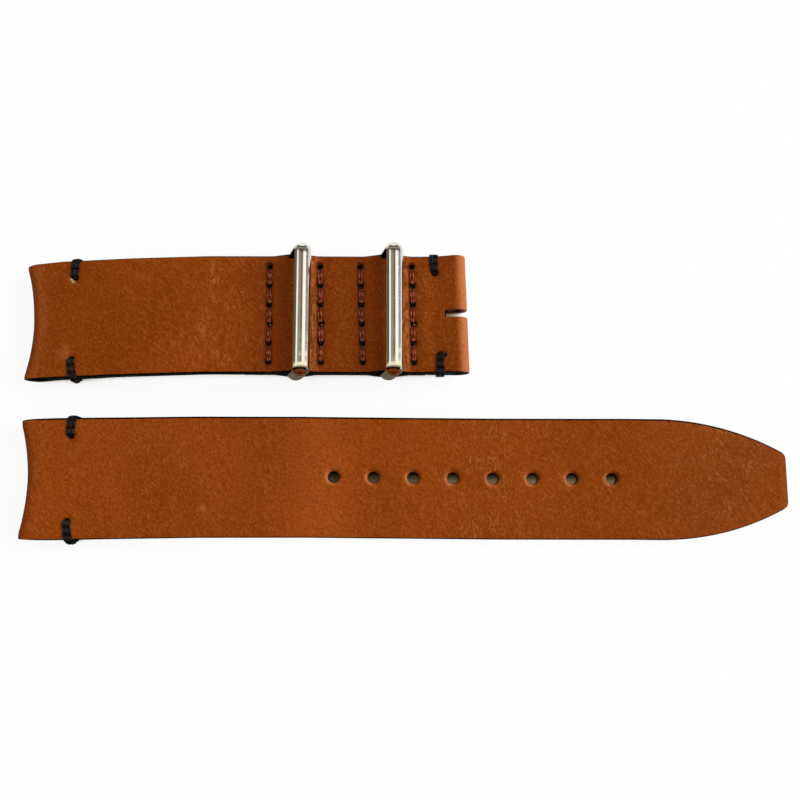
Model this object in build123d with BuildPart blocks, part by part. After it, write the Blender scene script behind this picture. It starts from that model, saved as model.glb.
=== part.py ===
from build123d import *
from math import acos, atan2, cos, hypot, radians, sin
import os

# Two-piece leather watch strap with curved lug ends, lying open, outer side up.
# The short half carries the buckle fold and two sewn-in keeper rings; the long half
# is the tail with its tongue holes. +X runs from the lug ends to the tail, +Z is up
# from the table, and the origin is the middle of the ground under both halves.
# Lengths along a half are counted from the middle of its lug end. All are in mm.

# Plan of both halves
strap_width = 20.0
short_length = 74.0
long_length = 126.5
halves_spacing = 27.0
halves_stagger = 0.5
lug_hollow = 1.4
tip_inset = 0.45
tip_run = 6.0

# Leather and filling
top_leather = 1.2
lining = 0.8
stiffener = 0.3
backing = 0.8
flap = 0.8
flap_edge = 0.4
flap_length = 12.5
flap_ramp = 2.5

# Loop for the spring bar at each lug end
lug_bore_radius = 0.95
lug_wall = 0.95
lug_loop_run = 0.6
lug_seat_gap = 1.45

# Short half: where its body levels out, and how far its stiffener laps the backing strip
short_rise_end = 16.0
stiffener_lap = 0.35
lining_ramp = 1.5

# Keeper rings, bent from half-round wire, set back from the buckle end
wire_width = 2.8
wire_thickness = 1.5
wire_flat = 2.2
wire_shoulder = 0.35
keeper_inner_length = 20.5
keeper_bend_radius = 1.4
keeper_slack = 0.3
keeper_setbacks = (29.2, 13.6)
keeper_leans = (17.0, 13.0)
tunnel_clearance = 0.15
tunnel_drop = 0.25

# Seams each side of a keeper, and the strip that they hold
seam_offset = 4.3
needle_pitch = 3.31
needle_count = 6
needle_hole = 0.8
thread_leg = 0.6
thread_width = 0.75
thread_height = 0.4
thread_dip = 0.12
backing_margin_front = 4.2
backing_margin_rear = 2.1

# Buckle fold with the slot for the tongue
buckle_bore_radius = 0.85
buckle_wall = 1.0
buckle_foot = 4.0
buckle_lining_gap = 0.9
slot_width = 1.3
slot_depth = 3.8

# Tail of the long half
pad_fall_end = 16.0
pad_height = 3.0
pad_end = 48.0
tail_taper_length = 21.5
tail_tip_width = 8.8
tail_corner = 0.8
hole_radius = 0.95
hole_pitch = 6.64
hole_count = 8
first_hole = 50.9

# Tacks of waxed thread round the edges
tack_width = 1.6
tack_thread = 0.45
tack_inset = 3.1
tack_leg = 0.6
tack_leg_width = 0.9
lug_tack_place = 7.2
buckle_tack_back = 5.5
buckle_tack_front = 4.7

# Fits and cuts
sewn_gap = 0.03
butt_gap = 0.1
overrun = 2.0
nose_share = 0.46

# Heights that follow
lug_loop = 2 * (lug_bore_radius + lug_wall)
lug_bore_place = lug_wall + lug_bore_radius
lug_loop_end = lug_bore_place + lug_loop_run
layers_start = lug_bore_place + lug_bore_radius + lug_seat_gap
tunnel_radius = hypot(wire_width / 2, wire_shoulder) + tunnel_clearance
pivot_height = tunnel_radius + lining + backing
short_top = pivot_height + tunnel_drop + top_leather
sewn_stack = top_leather + lining + backing
tail_stack = top_leather + lining
keeper_rise = tunnel_radius + top_leather + tail_stack + keeper_slack + wire_thickness / 2
fold_radius = buckle_bore_radius + buckle_wall
fold_place = short_length - fold_radius
fold_height = short_top - sewn_stack / 2
lining_end = fold_place - buckle_bore_radius - buckle_lining_gap
keeper_places = [short_length - setback for setback in keeper_setbacks]
seam_places = [place + side * seam_offset for place in keeper_places for side in (-1, 1)]
needle_places = [(i - (needle_count - 1) / 2) * needle_pitch for i in range(needle_count)]
backing_start = seam_places[0] - backing_margin_front
backing_end = seam_places[-1] + backing_margin_rear
short_stiffener_end = backing_start + stiffener_lap
tack_proud = sewn_gap + tack_thread
keeper_length = keeper_inner_length + 2 * wire_thickness
half_width = strap_width / 2

# Places of the two halves: the box round everything is centred on the origin
reach_back = halves_stagger + lug_hollow
reach_front = max(long_length, short_length - halves_stagger)
long_x = (reach_back - reach_front) / 2
short_x = long_x - halves_stagger
long_y = (half_width + tack_proud - halves_spacing - keeper_length / 2) / 2
short_y = long_y + halves_spacing

short_side = Plane(origin=(short_x, short_y, 0), x_dir=(1, 0, 0), z_dir=(0, -1, 0))
short_plan = Plane(origin=(short_x, short_y, 0))
long_side = Plane(origin=(long_x, long_y, 0), x_dir=(1, 0, 0), z_dir=(0, -1, 0))
long_plan = Plane(origin=(long_x, long_y, 0))


def short_top_height(place):
    """Height of the short half's outer face, which dips towards the lug loop."""
    share = (place - lug_loop_end) / (short_rise_end - lug_loop_end)
    return lug_loop + (short_top - lug_loop) * min(max(share, 0), 1)


def long_top_height(place):
    """Height of the long half's outer face over its padding."""
    share = (place - lug_loop_end) / (pad_fall_end - lug_loop_end)
    return lug_loop + (pad_height - lug_loop) * min(max(share, 0), 1)


def short_under_height(place):
    """Underside of the folded flap of the short half."""
    share = (place - layers_start) / (flap_length - layers_start)
    depth = top_leather + stiffener + lining + flap + (flap_edge - flap) * share
    return short_top_height(place) - depth


def bulge(place, height, radius, foot_height, reach, way):
    """Outline of leather drawn over a bar: two flanks and the arc that they touch."""
    foot_rise = foot_height - height
    turn = acos(radius / hypot(reach, foot_rise))
    angle = atan2(foot_rise, reach) + way * turn
    across, up = radius * cos(angle), radius * sin(angle)
    foot_left = (place - reach, foot_height)
    foot_right = (place + reach, foot_height)
    touch_left = (place - across, height + up)
    touch_right = (place + across, height + up)
    Line(foot_left, touch_left)
    ThreePointArc(touch_left, (place, height + way * radius), touch_right)
    Line(touch_right, foot_right)
    Line(foot_right, foot_left)


def fold_outline():
    """Outline of the buckle fold: a round nose with flanks running back to the strap."""
    foot_rise = short_top - fold_height
    turn = acos(fold_radius / hypot(buckle_foot, foot_rise))
    angle = atan2(foot_rise, -buckle_foot) - turn
    across, up = fold_radius * cos(angle), fold_radius * sin(angle)
    foot_place = fold_place - buckle_foot
    upper_foot = (foot_place, fold_height + foot_rise)
    lower_foot = (foot_place, fold_height - foot_rise)
    upper_touch = (fold_place + across, fold_height + up)
    lower_touch = (fold_place + across, fold_height - up)
    Line(upper_foot, upper_touch)
    ThreePointArc(upper_touch, (fold_place + fold_radius, fold_height), lower_touch)
    Line(lower_touch, lower_foot)
    Line(lower_foot, upper_foot)


def lug_outline(front, end):
    """Plan of a half: hollow lug end, easing out to the full width, square at the end."""
    tip = half_width - tip_inset
    ThreePointArc((-lug_hollow, tip), (0, 0), (-lug_hollow, -tip))
    for side in (-1, 1):
        TangentArc((front, side * half_width), (-lug_hollow, side * tip), tangent=(-1, 0))
        Line((front, side * half_width), (end, side * half_width))


def short_outline():
    """Plan of the short half, square at the buckle fold."""
    lug_outline(tip_run, short_length)
    Line((short_length, -half_width), (short_length, half_width))


def long_outline():
    """Plan of the long half, tapering in two arcs to a blunt tip."""
    taper_start = long_length - tail_taper_length
    tip = tail_tip_width / 2
    lug_outline(tip_run, taper_start)
    for side in (-1, 1):
        TangentArc((taper_start, side * half_width), (long_length, side * tip), tangent=(1, 0))
    Line((long_length, -tip), (long_length, tip))


def trim_short():
    """Trim a layer of the short half to its plan."""
    with BuildSketch(short_plan) as plan:
        with BuildLine():
            short_outline()
        make_face()
    extrude(plan.sketch, amount=short_top + tunnel_radius, mode=Mode.INTERSECT)


def trim_long():
    """Trim a layer of the long half to its plan and round the tip's corners."""
    with BuildSketch(long_plan) as plan:
        with BuildLine():
            long_outline()
        make_face()
        fillet(plan.vertices().group_by(Axis.X)[-1], radius=tail_corner)
    extrude(plan.sketch, amount=lug_loop, mode=Mode.INTERSECT)


def round_lug_nose(half):
    """Round the lug end's upper and lower edges into one nose."""
    nose = half.faces().sort_by(Axis.X)[0]
    fillet(nose.edges().filter_by(Axis.Z, reverse=True), radius=nose_share * lug_loop)


def cut_needle_holes():
    """Cut the seam rows' awl holes."""
    with BuildSketch(short_plan) as holes:
        with Locations(*[(place, across) for place in seam_places for across in needle_places]):
            Rectangle(needle_hole, needle_hole)
    extrude(holes.sketch, amount=short_top + tunnel_radius, mode=Mode.SUBTRACT)


def tack_holes(places, plan, height):
    """Cut the tacks' awl holes, one in from the edge at each (place, side)."""
    with BuildSketch(plan) as holes:
        with Locations(*[(place, side * (half_width - tack_inset)) for place, side in places]):
            Rectangle(tack_leg_width + 2 * sewn_gap, tack_leg + 2 * sewn_gap)
    extrude(holes.sketch, amount=height, mode=Mode.SUBTRACT)


lug_tacks = [(lug_tack_place, 1), (lug_tack_place, -1)]
buckle_tacks = [(short_length - buckle_tack_back, 1), (short_length - buckle_tack_front, -1)]
short_tacks = lug_tacks + buckle_tacks
bulge_reach = seam_offset - needle_hole
hump_reach = seam_offset - needle_hole / 2
interface = short_top - top_leather
front = -lug_hollow - overrun

# Short half, outer leather: folded under at both ends, humped over the keeper bars
with BuildPart() as short_outer:
    with BuildSketch(short_side):
        with BuildLine():
            under_start = short_top_height(layers_start) - top_leather
            under_end = short_top_height(flap_length) - top_leather
            layer_depth = stiffener + lining
            Polyline(
                (front, lug_loop),
                (lug_loop_end, lug_loop),
                (short_rise_end, short_top),
                (fold_place, short_top),
                (fold_place, short_top - sewn_stack),
                (backing_end + butt_gap, short_top - sewn_stack),
                (backing_end + butt_gap, interface - lining),
                (lining_end, interface - lining),
                (lining_end, interface),
                (short_rise_end, interface),
                (layers_start, under_start),
                (layers_start, under_start - layer_depth),
                (flap_length, under_end - layer_depth),
                (flap_length, under_end - layer_depth - flap_edge),
                (layers_start, under_start - layer_depth - flap),
                (lug_loop_end, 0),
                (front, 0),
                close=True,
            )
        make_face()
        with BuildLine():
            fold_outline()
        make_face()
        for place in keeper_places:
            with BuildLine():
                bulge(place, pivot_height, tunnel_radius + top_leather, short_top, hump_reach, 1)
            make_face()
            with BuildLine():
                bulge(place, pivot_height, tunnel_radius, interface, bulge_reach, 1)
            make_face(mode=Mode.SUBTRACT)
        with Locations((lining_end, interface - lining)):
            Rectangle(
                lining_end - backing_end,
                lining,
                align=(Align.MAX, Align.MIN),
                mode=Mode.SUBTRACT,
            )
        with Locations((lug_bore_place, lug_loop / 2)):
            Circle(lug_bore_radius, mode=Mode.SUBTRACT)
        with Locations((fold_place, fold_height)):
            Circle(buckle_bore_radius, mode=Mode.SUBTRACT)
    extrude(amount=half_width, both=True)
    trim_short()
    round_lug_nose(short_outer)
    with BuildSketch(short_plan):
        with Locations((short_length - slot_depth, 0)):
            Rectangle(slot_depth + overrun, slot_width, align=(Align.MIN, Align.CENTER))
    extrude(amount=short_top + overrun, mode=Mode.SUBTRACT)
    cut_needle_holes()
    tack_holes(short_tacks, short_plan, short_top + overrun)
short_outer.part.label = "short_top_leather"

# Short half, stiffener between the leathers, from the lug flap to the keepers
with BuildPart() as short_core:
    with BuildSketch(short_side):
        with BuildLine():
            Polyline(
                (layers_start, under_start),
                (short_rise_end, interface),
                (short_stiffener_end, interface),
                (short_stiffener_end, interface - stiffener),
                (short_rise_end, interface - stiffener),
                (layers_start, under_start - stiffener),
                close=True,
            )
        make_face()
    extrude(amount=half_width, both=True)
    trim_short()
    tack_holes(short_tacks, short_plan, short_top + overrun)
short_core.part.label = "short_stiffener"

# Short half, lining: drops under the stiffener and bellies under the keeper bars
with BuildPart() as short_inner:
    with BuildSketch(short_side):
        with BuildLine():
            level_start = short_stiffener_end + lining_ramp
            Polyline(
                (layers_start, under_start - stiffener),
                (short_rise_end, interface - stiffener),
                (short_stiffener_end, interface - stiffener),
                (level_start, interface),
                (lining_end, interface),
                (lining_end, interface - lining),
                (level_start, interface - lining),
                (short_stiffener_end, interface - stiffener - lining),
                (short_rise_end, interface - stiffener - lining),
                (layers_start, under_start - stiffener - lining),
                close=True,
            )
        make_face()
        for place in keeper_places:
            with BuildLine():
                bulge(place, pivot_height, tunnel_radius + lining, interface - lining, bulge_reach, -1)
            make_face()
            with BuildLine():
                bulge(place, pivot_height, tunnel_radius, interface, bulge_reach, -1)
            make_face(mode=Mode.SUBTRACT)
    extrude(amount=half_width, both=True)
    trim_short()
    with BuildSketch(short_plan):
        with Locations((short_length - slot_depth, 0)):
            Rectangle(slot_depth, slot_width, align=(Align.MIN, Align.CENTER))
    extrude(amount=short_top, mode=Mode.SUBTRACT)
    cut_needle_holes()
    tack_holes(short_tacks, short_plan, short_top + overrun)
short_inner.part.label = "short_lining"

# Short half, strip sewn under the lining to hold the keeper bars
with BuildPart() as strip:
    with BuildSketch(short_side):
        strip_top = interface - lining
        with BuildLine():
            Polyline(
                (backing_start, strip_top - stiffener),
                (short_stiffener_end, strip_top - stiffener),
                (level_start, strip_top),
                (backing_end, strip_top),
                (backing_end, strip_top - backing),
                (level_start, strip_top - backing),
                (short_stiffener_end, strip_top - stiffener - flap_edge),
                (backing_start, strip_top - stiffener - flap_edge),
                close=True,
            )
        make_face()
        for place in keeper_places:
            outer = tunnel_radius + lining + backing
            with BuildLine():
                bulge(place, pivot_height, outer, strip_top - backing, bulge_reach, -1)
            make_face()
            with BuildLine():
                bulge(place, pivot_height, tunnel_radius + lining, strip_top, bulge_reach, -1)
            make_face(mode=Mode.SUBTRACT)
    extrude(amount=half_width, both=True)
    cut_needle_holes()
strip.part.label = "keeper_backing"


def keeper_ring(place, lean):
    """A closed ring of half-round wire, leaning towards +X about its lower bar."""
    pivot = (short_x + place, short_y, pivot_height)
    tilt = radians(lean)
    ahead = (cos(tilt), 0, -sin(tilt))
    ring_plane = Plane(origin=pivot, x_dir=(0, 1, 0), z_dir=ahead)
    wire_plane = Plane(origin=pivot, x_dir=ahead, z_dir=(0, 1, 0))
    side = (keeper_inner_length + wire_thickness) / 2
    inner, outer = -wire_thickness / 2, wire_thickness / 2
    with BuildPart() as ring:
        with BuildLine(ring_plane) as path:
            FilletPolyline(
                (side, 0),
                (side, keeper_rise),
                (-side, keeper_rise),
                (-side, 0),
                radius=keeper_bend_radius,
                close=True,
            )
        with BuildSketch(wire_plane):
            with BuildLine():
                edge = (wire_width / 2, -wire_shoulder)
                edge_back = (-wire_width / 2, -wire_shoulder)
                Line((-wire_flat / 2, inner), (wire_flat / 2, inner))
                Line((wire_flat / 2, inner), edge)
                ThreePointArc(edge, (0, outer), edge_back)
                Line(edge_back, (-wire_flat / 2, inner))
            make_face()
        sweep(path=path.wires()[0])
    return ring.part


ring_parts = []
for number, (place, lean) in enumerate(zip(keeper_places, keeper_leans), start=1):
    ring_part = keeper_ring(place, lean)
    ring_part.label = f"keeper_ring_{number}"
    ring_parts.append(ring_part)


def seam_thread(place):
    """One row's thread: scalloped stitches on both faces, joined through the holes."""
    row_plane = Plane(origin=(short_x + place, short_y, 0), x_dir=(0, 1, 0), z_dir=(1, 0, 0))
    upper = short_top + sewn_gap
    lower = short_top - sewn_stack - sewn_gap
    first = needle_places[0] - thread_leg / 2
    last = needle_places[-1] + thread_leg / 2
    stitches = list(zip(needle_places, needle_places[1:]))
    with BuildPart() as thread:
        with BuildSketch(row_plane):
            with BuildLine():
                for face, way in ((upper, 1), (lower, -1)):
                    dip, crest = face + way * thread_dip, face + way * thread_height
                    for start, end in stitches:
                        ThreePointArc((start, dip), ((start + end) / 2, crest), (end, dip))
                    Line((first, dip), (needle_places[0], dip))
                    Line((needle_places[-1], dip), (last, dip))
                Line((first, upper + thread_dip), (first, lower - thread_dip))
                Line((last, upper + thread_dip), (last, lower - thread_dip))
            make_face()
            window = needle_pitch - thread_leg
            with Locations(*[((start + end) / 2, (upper + lower) / 2) for start, end in stitches]):
                Rectangle(window, upper - lower, mode=Mode.SUBTRACT)
        extrude(amount=thread_width / 2, both=True)
    return thread.part


seam_parts = []
for number, place in enumerate(seam_places, start=1):
    seam_part = seam_thread(place)
    seam_part.label = f"seam_thread_{number}"
    seam_parts.append(seam_part)

# Long half, outer leather: folded under at the lug, punched for the tongue
with BuildPart() as long_outer:
    with BuildSketch(long_side):
        with BuildLine():
            pad_top = long_top_height(layers_start) - top_leather
            Polyline(
                (front, lug_loop),
                (lug_loop_end, lug_loop),
                (pad_fall_end, pad_height),
                (pad_end, tail_stack),
                (long_length, tail_stack),
                (long_length, lining),
                (pad_end, lining),
                (pad_fall_end, pad_height - top_leather),
                (layers_start, pad_top),
                (layers_start, flap),
                (flap_length, flap_edge),
                (flap_length, 0),
                (front, 0),
                close=True,
            )
        make_face()
        with Locations((lug_bore_place, lug_loop / 2)):
            Circle(lug_bore_radius, mode=Mode.SUBTRACT)
    extrude(amount=half_width, both=True)
    trim_long()
    round_lug_nose(long_outer)
    tack_holes(lug_tacks, long_plan, lug_loop)
    with BuildSketch(long_plan):
        groove_reach = tack_inset + tack_leg / 2 + sewn_gap
        for place, side in lug_tacks:
            with Locations((place, side * (half_width - groove_reach / 2))):
                Rectangle(tack_width + 2 * sewn_gap, groove_reach)
    extrude(amount=tack_thread + 2 * sewn_gap, mode=Mode.SUBTRACT)
    with BuildSketch(long_plan):
        with Locations(*[(first_hole + i * hole_pitch, 0) for i in range(hole_count)]):
            Circle(hole_radius)
    extrude(amount=lug_loop, mode=Mode.SUBTRACT)
long_outer.part.label = "long_top_leather"

# Long half, padding over the stiffener, skived to a feather edge
stiffener_top = lining + stiffener
pad_under = pad_height - top_leather
feather_share = (pad_under - stiffener_top) / (pad_under - lining)
feather_place = pad_fall_end + (pad_end - pad_fall_end) * feather_share
ramp_end = flap_length + flap_ramp
with BuildPart() as long_pad:
    with BuildSketch(long_side):
        with BuildLine():
            Polyline(
                (layers_start, pad_top),
                (pad_fall_end, pad_under),
                (feather_place, stiffener_top),
                (ramp_end, stiffener_top),
                (flap_length, flap_edge + stiffener_top),
                (layers_start, flap + stiffener_top),
                close=True,
            )
        make_face()
    extrude(amount=half_width, both=True)
    trim_long()
    tack_holes(lug_tacks, long_plan, lug_loop)
long_pad.part.label = "long_padding"

# Long half, stiffener on the lining, skived out just before the first hole
with BuildPart() as long_core:
    with BuildSketch(long_side):
        with BuildLine():
            Polyline(
                (layers_start, flap + stiffener_top),
                (flap_length, flap_edge + stiffener_top),
                (ramp_end, stiffener_top),
                (feather_place, stiffener_top),
                (pad_end, lining),
                (ramp_end, lining),
                (flap_length, flap_edge + lining),
                (layers_start, flap + lining),
                close=True,
            )
        make_face()
    extrude(amount=half_width, both=True)
    trim_long()
    tack_holes(lug_tacks, long_plan, lug_loop)
long_core.part.label = "long_stiffener"

# Long half, lining: over the flap at the lug, then flat on the table to the tip
with BuildPart() as long_inner:
    with BuildSketch(long_side):
        with BuildLine():
            Polyline(
                (layers_start, flap),
                (flap_length, flap_edge),
                (ramp_end, 0),
                (long_length, 0),
                (long_length, lining),
                (ramp_end, lining),
                (flap_length, flap_edge + lining),
                (layers_start, flap + lining),
                close=True,
            )
        make_face()
    extrude(amount=half_width, both=True)
    trim_long()
    tack_holes(lug_tacks, long_plan, lug_loop)
    with BuildSketch(long_plan):
        with Locations(*[(first_hole + i * hole_pitch, 0) for i in range(hole_count)]):
            Circle(hole_radius)
    extrude(amount=lug_loop, mode=Mode.SUBTRACT)
long_inner.part.label = "long_lining"


def edge_tack(origin_x, origin_y, place, side, upper, lower):
    """Thread wrapped round an edge from an awl hole: upper and lower are its inner faces."""
    tack_plane = Plane(origin=(origin_x + place, origin_y, 0), x_dir=(0, side, 0), z_dir=(side, 0, 0))
    hole = half_width - tack_inset
    rim = half_width + sewn_gap
    inner_height = upper - lower
    middle = (upper + lower) / 2
    with BuildPart() as tack:
        with BuildSketch(tack_plane):
            with Locations((hole - tack_leg / 2, middle)):
                Rectangle(
                    rim + tack_thread - hole + tack_leg / 2,
                    inner_height + 2 * tack_thread,
                    align=(Align.MIN, Align.CENTER),
                )
                Rectangle(
                    rim - hole + tack_leg / 2,
                    inner_height,
                    align=(Align.MIN, Align.CENTER),
                    mode=Mode.SUBTRACT,
                )
        extrude(amount=tack_width / 2, both=True)
        with BuildSketch(tack_plane):
            with Locations((hole, middle)):
                Rectangle(tack_leg, inner_height + 2 * tack_thread)
        extrude(amount=tack_leg_width / 2, both=True)
        far_edges = tack.edges().filter_by(Axis.X).group_by(SortBy.LENGTH)[-1]
        outer_edges = [edge for edge in far_edges if abs(edge.center().Y - origin_y) > rim]
        fillet(outer_edges, radius=tack_thread / 2)
    return tack.part


def tack_faces(top_height, under_height, place):
    """Inner faces of a tack at a place, clear of the leather over the tack's width."""
    ends = (place - tack_width / 2, place + tack_width / 2)
    upper = max(top_height(end) for end in ends) + sewn_gap
    lower = min(under_height(end) for end in ends) - sewn_gap
    return upper, lower


def fold_top_height(place):
    """Outer face near the buckle fold, taken as the flank up to the round nose."""
    share = max(place - (fold_place - buckle_foot), 0) / buckle_foot
    return short_top + (fold_height + fold_radius - short_top) * share


def fold_under_height(place):
    """Underside near the buckle fold, the mirror of its outer face."""
    return 2 * fold_height - fold_top_height(place)


def groove_height(place):
    """Roof of the groove that takes the long half's tacks flush with its underside."""
    return tack_thread + 2 * sewn_gap


side_names = {1: "back", -1: "front"}
tack_parts = []
for place, side in lug_tacks:
    upper, lower = tack_faces(short_top_height, short_under_height, place)
    tack_part = edge_tack(short_x, short_y, place, side, upper, lower)
    tack_part.label = f"short_lug_tack_{side_names[side]}"
    tack_parts.append(tack_part)
for place, side in buckle_tacks:
    upper, lower = tack_faces(fold_top_height, fold_under_height, place)
    tack_part = edge_tack(short_x, short_y, place, side, upper, lower)
    tack_part.label = f"buckle_tack_{side_names[side]}"
    tack_parts.append(tack_part)
for place, side in lug_tacks:
    upper, lower = tack_faces(long_top_height, groove_height, place)
    tack_part = edge_tack(long_x, long_y, place, side, upper, lower)
    tack_part.label = f"long_lug_tack_{side_names[side]}"
    tack_parts.append(tack_part)

short_layers = [short_outer, short_core, short_inner, strip]
long_layers = [long_outer, long_pad, long_core, long_inner]
pieces = [layer.part for layer in short_layers + long_layers]
pieces += ring_parts + seam_parts + tack_parts

os.makedirs("parts", exist_ok=True)
for piece in pieces:
    export_step(piece, f"parts/{piece.label}.step")
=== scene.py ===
import math
import random

import bpy
import numpy as np
from mathutils import Matrix, Vector, noise
from mathutils.geometry import delaunay_2d_cdt
from mathutils.kdtree import KDTree


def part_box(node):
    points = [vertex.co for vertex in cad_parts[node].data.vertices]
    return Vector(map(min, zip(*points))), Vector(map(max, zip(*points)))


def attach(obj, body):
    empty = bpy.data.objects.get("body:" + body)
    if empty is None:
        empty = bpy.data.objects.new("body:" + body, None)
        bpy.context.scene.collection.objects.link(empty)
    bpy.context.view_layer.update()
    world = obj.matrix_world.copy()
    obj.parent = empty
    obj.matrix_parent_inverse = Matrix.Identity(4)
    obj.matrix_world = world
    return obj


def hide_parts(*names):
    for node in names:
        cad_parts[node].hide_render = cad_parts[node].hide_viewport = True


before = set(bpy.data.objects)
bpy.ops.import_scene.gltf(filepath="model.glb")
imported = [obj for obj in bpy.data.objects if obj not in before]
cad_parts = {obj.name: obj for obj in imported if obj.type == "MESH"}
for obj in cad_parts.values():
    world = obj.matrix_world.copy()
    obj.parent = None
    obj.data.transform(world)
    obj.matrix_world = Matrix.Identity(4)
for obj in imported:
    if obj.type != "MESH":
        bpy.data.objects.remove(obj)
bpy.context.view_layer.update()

# A two-piece leather watch strap, both halves lying outer side up. Sizes are in
# millimetres and become metres where a mesh is made. Lengths along a half are counted
# from the middle of its lug end, and those across it from its middle line.
MM = 0.001
HALF_WIDTH = 10.1
SHORT_LENGTH = 74.0
LONG_LENGTH = 126.5
LUG_HOLLOW = 1.4
TIP_INSET = 0.45
TIP_RUN = 6.0
# The lug ends are cut a little askew: mm along a half for each mm across it
LUG_SKEW = 0.022

# Thickness of each layer, and the flap of outer leather turned under at a lug end
TOP_LEATHER = 1.2
LINING = 0.8
STIFFENER = 0.3
BACKING = 0.8
FLAP = 0.8
FLAP_EDGE = 0.4
FLAP_LENGTH = 12.5
RAMP_END = 15.0

# The lug loop round the spring bar's bore, and where the layers inside it start
LUG_BORE = 0.95
LUG_OUTER = 1.9
LUG_LOOP = 3.8
LUG_LOOP_END = 2.5
LAYERS_MEET = 4.2
LAYERS_START = 4.3
RISE_END = 16.0

# The keeper rings on the short half, their tunnels and the seams on each side of them
PIVOT_HEIGHT = 3.193
TUNNEL = 1.593
SHORT_TOP = 4.643
INTERFACE = SHORT_TOP - TOP_LEATHER
SHORT_UNDER = INTERFACE - LINING - BACKING
KEEPER_PLACES = (44.8, 60.4)
KEEPER_LEANS = (17.0, 13.0)
KEEPER_RISE = 5.843
SEAM_OFFSET = 4.3
SEAM_PLACES = [place + side * SEAM_OFFSET for place in KEEPER_PLACES for side in (-1, 1)]
HUMP_REACH = SEAM_OFFSET - 0.4
TUNNEL_REACH = SEAM_OFFSET - 0.8
NEEDLE_PITCH = 3.31
NEEDLE_PLACES = [(i - 2.5) * NEEDLE_PITCH for i in range(6)]
# The rows were sewn by eye: how far each one turns, in degrees
SEAM_TURNS = (0.3, 1.1, 1.8, 1.2)
BACKING_START = SEAM_PLACES[0] - 4.2
BACKING_END = SEAM_PLACES[3] + 2.1
SHORT_STIFFENER_END = BACKING_START + 0.35
LINING_LEVEL = SHORT_STIFFENER_END + 1.5

# The fold round the buckle bar, with the slot for its tongue
FOLD_OUTER = 1.85
FOLD_BORE = 0.85
FOLD = (SHORT_LENGTH - FOLD_OUTER, 3.243)
FOLD_FOOT = FOLD[0] - 4.0
LINING_END = FOLD[0] - 1.75
SLOT_START = FOLD[0] - 1.95
SLOT_WIDTH = 1.3
# The buckle fold is turned a little askew, in degrees
FOLD_TURN = 1.6

# The padded long half, its tail and its tongue holes
PAD_HEIGHT = 3.0
PAD_END = 48.0
PAD_FEATHER = 38.4
SKIVED_EDGE = 0.03
TAIL_STACK = 2.0
TAIL_TAPER = 21.5
TAIL_TIP = 4.4
TAIL_STRETCH = 0.27
HOLE_RADIUS = 0.95
HOLE_PLACES = [50.9 + i * 6.64 for i in range(8)]

# The edge tacks: place along the half and side of it
TACK_ACROSS = HALF_WIDTH - 3.1
LUG_TACKS = ((7.2, 1), (7.2, -1))
BUCKLE_TACKS = ((68.5, 1), (69.3, -1))
# Under the long half their turns stay clear of the table
LONG_TACK_LOW = 0.35
SIDE_NAMES = {1: "back", -1: "front"}


def half_origin(node, length):
    """The middle of a half's lug end on the table, from the node that gives its far end."""
    low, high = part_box(node)
    return np.array([high.x / MM - length, (low.y + high.y) / 2 / MM, 0.0])


SHORT_AT = half_origin("short_top_leather", SHORT_LENGTH)
LONG_AT = half_origin("long_top_leather", LONG_LENGTH)


# Nodes and materials

def colour(code):
    """An sRGB hex value as linear RGBA."""
    values = [int(code[i:i + 2], 16) / 255 for i in (1, 3, 5)]
    return [v / 12.92 if v <= 0.04045 else ((v + 0.055) / 1.055) ** 2.4 for v in values] + [1.0]


def feed(tree, node, inputs):
    """Set a node's inputs: each is a value, an sRGB hex value, a socket, or a node that
    gives its first live output."""
    for key, value in inputs.items():
        if isinstance(value, bpy.types.Node):
            value = next(socket for socket in value.outputs if socket.enabled)
        if isinstance(value, bpy.types.NodeSocket):
            tree.links.new(value, node.inputs[key])
        else:
            node.inputs[key].default_value = colour(value) if isinstance(value, str) else value


def add(tree, kind, inputs=None, stops=(), **settings):
    """Add a shader node with its settings and links. Stops are a colour ramp's places and
    sRGB hex values. A Mix node of colours takes its share at 0 and the two at 6 and 7."""
    made = tree.nodes.new("ShaderNode" + kind)
    for number, (place, code) in enumerate((*stops[:1], *stops[-1:], *stops[1:-1])):
        elements = made.color_ramp.elements
        stop = elements[number] if number < 2 else elements.new(place)
        stop.position, stop.color = place, colour(code)
    for name, value in settings.items():
        setattr(made, name, value)
    feed(tree, made, inputs or {})
    return made


def begin(name):
    """A new material, its tree, its principled shader and the piece's own coordinates."""
    material = bpy.data.materials.new(name)
    material.use_nodes = True
    tree = material.node_tree
    return material, tree, tree.nodes["Principled BSDF"], add(tree, "TexCoord").outputs["Object"]


def per_mm(size):
    """Texture scale, in metres of object space, of a pattern that repeats each size mm."""
    return 1 / (size * MM)


def calf_wrinkles(tree, place, crease):
    """Wrinkles about 0.4 mm apart across hard-bent leather: their pattern, how strong they are, how they
    break up the paler colour with painted sheen on their backs, and their bottoms, which take painted shade."""
    across = add(tree, "Mapping", {"Vector": place, "Scale": (1.0, 0.22, 0.6)})
    pattern = add(tree, "TexNoise", {"Vector": across, "Scale": per_mm(0.42), "Detail": 2.0,
                                     "Distortion": 0.5})
    strong = add(tree, "MapRange", {0: crease, 1: 0.65, 2: 0.9})
    backs = add(tree, "MapRange", {0: pattern, 1: 0.38, 2: 0.62, 3: -0.9, 4: 1.3})
    uneven = add(tree, "Math", {0: strong, 1: backs, 2: 1.0}, operation="MULTIPLY_ADD")
    deep = add(tree, "MapRange", {0: pattern, 1: 0.49, 2: 0.42, 4: 0.55})
    bottoms = add(tree, "Math", {0: strong, 1: deep}, operation="MULTIPLY")
    return pattern, strong, uneven, bottoms


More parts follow.
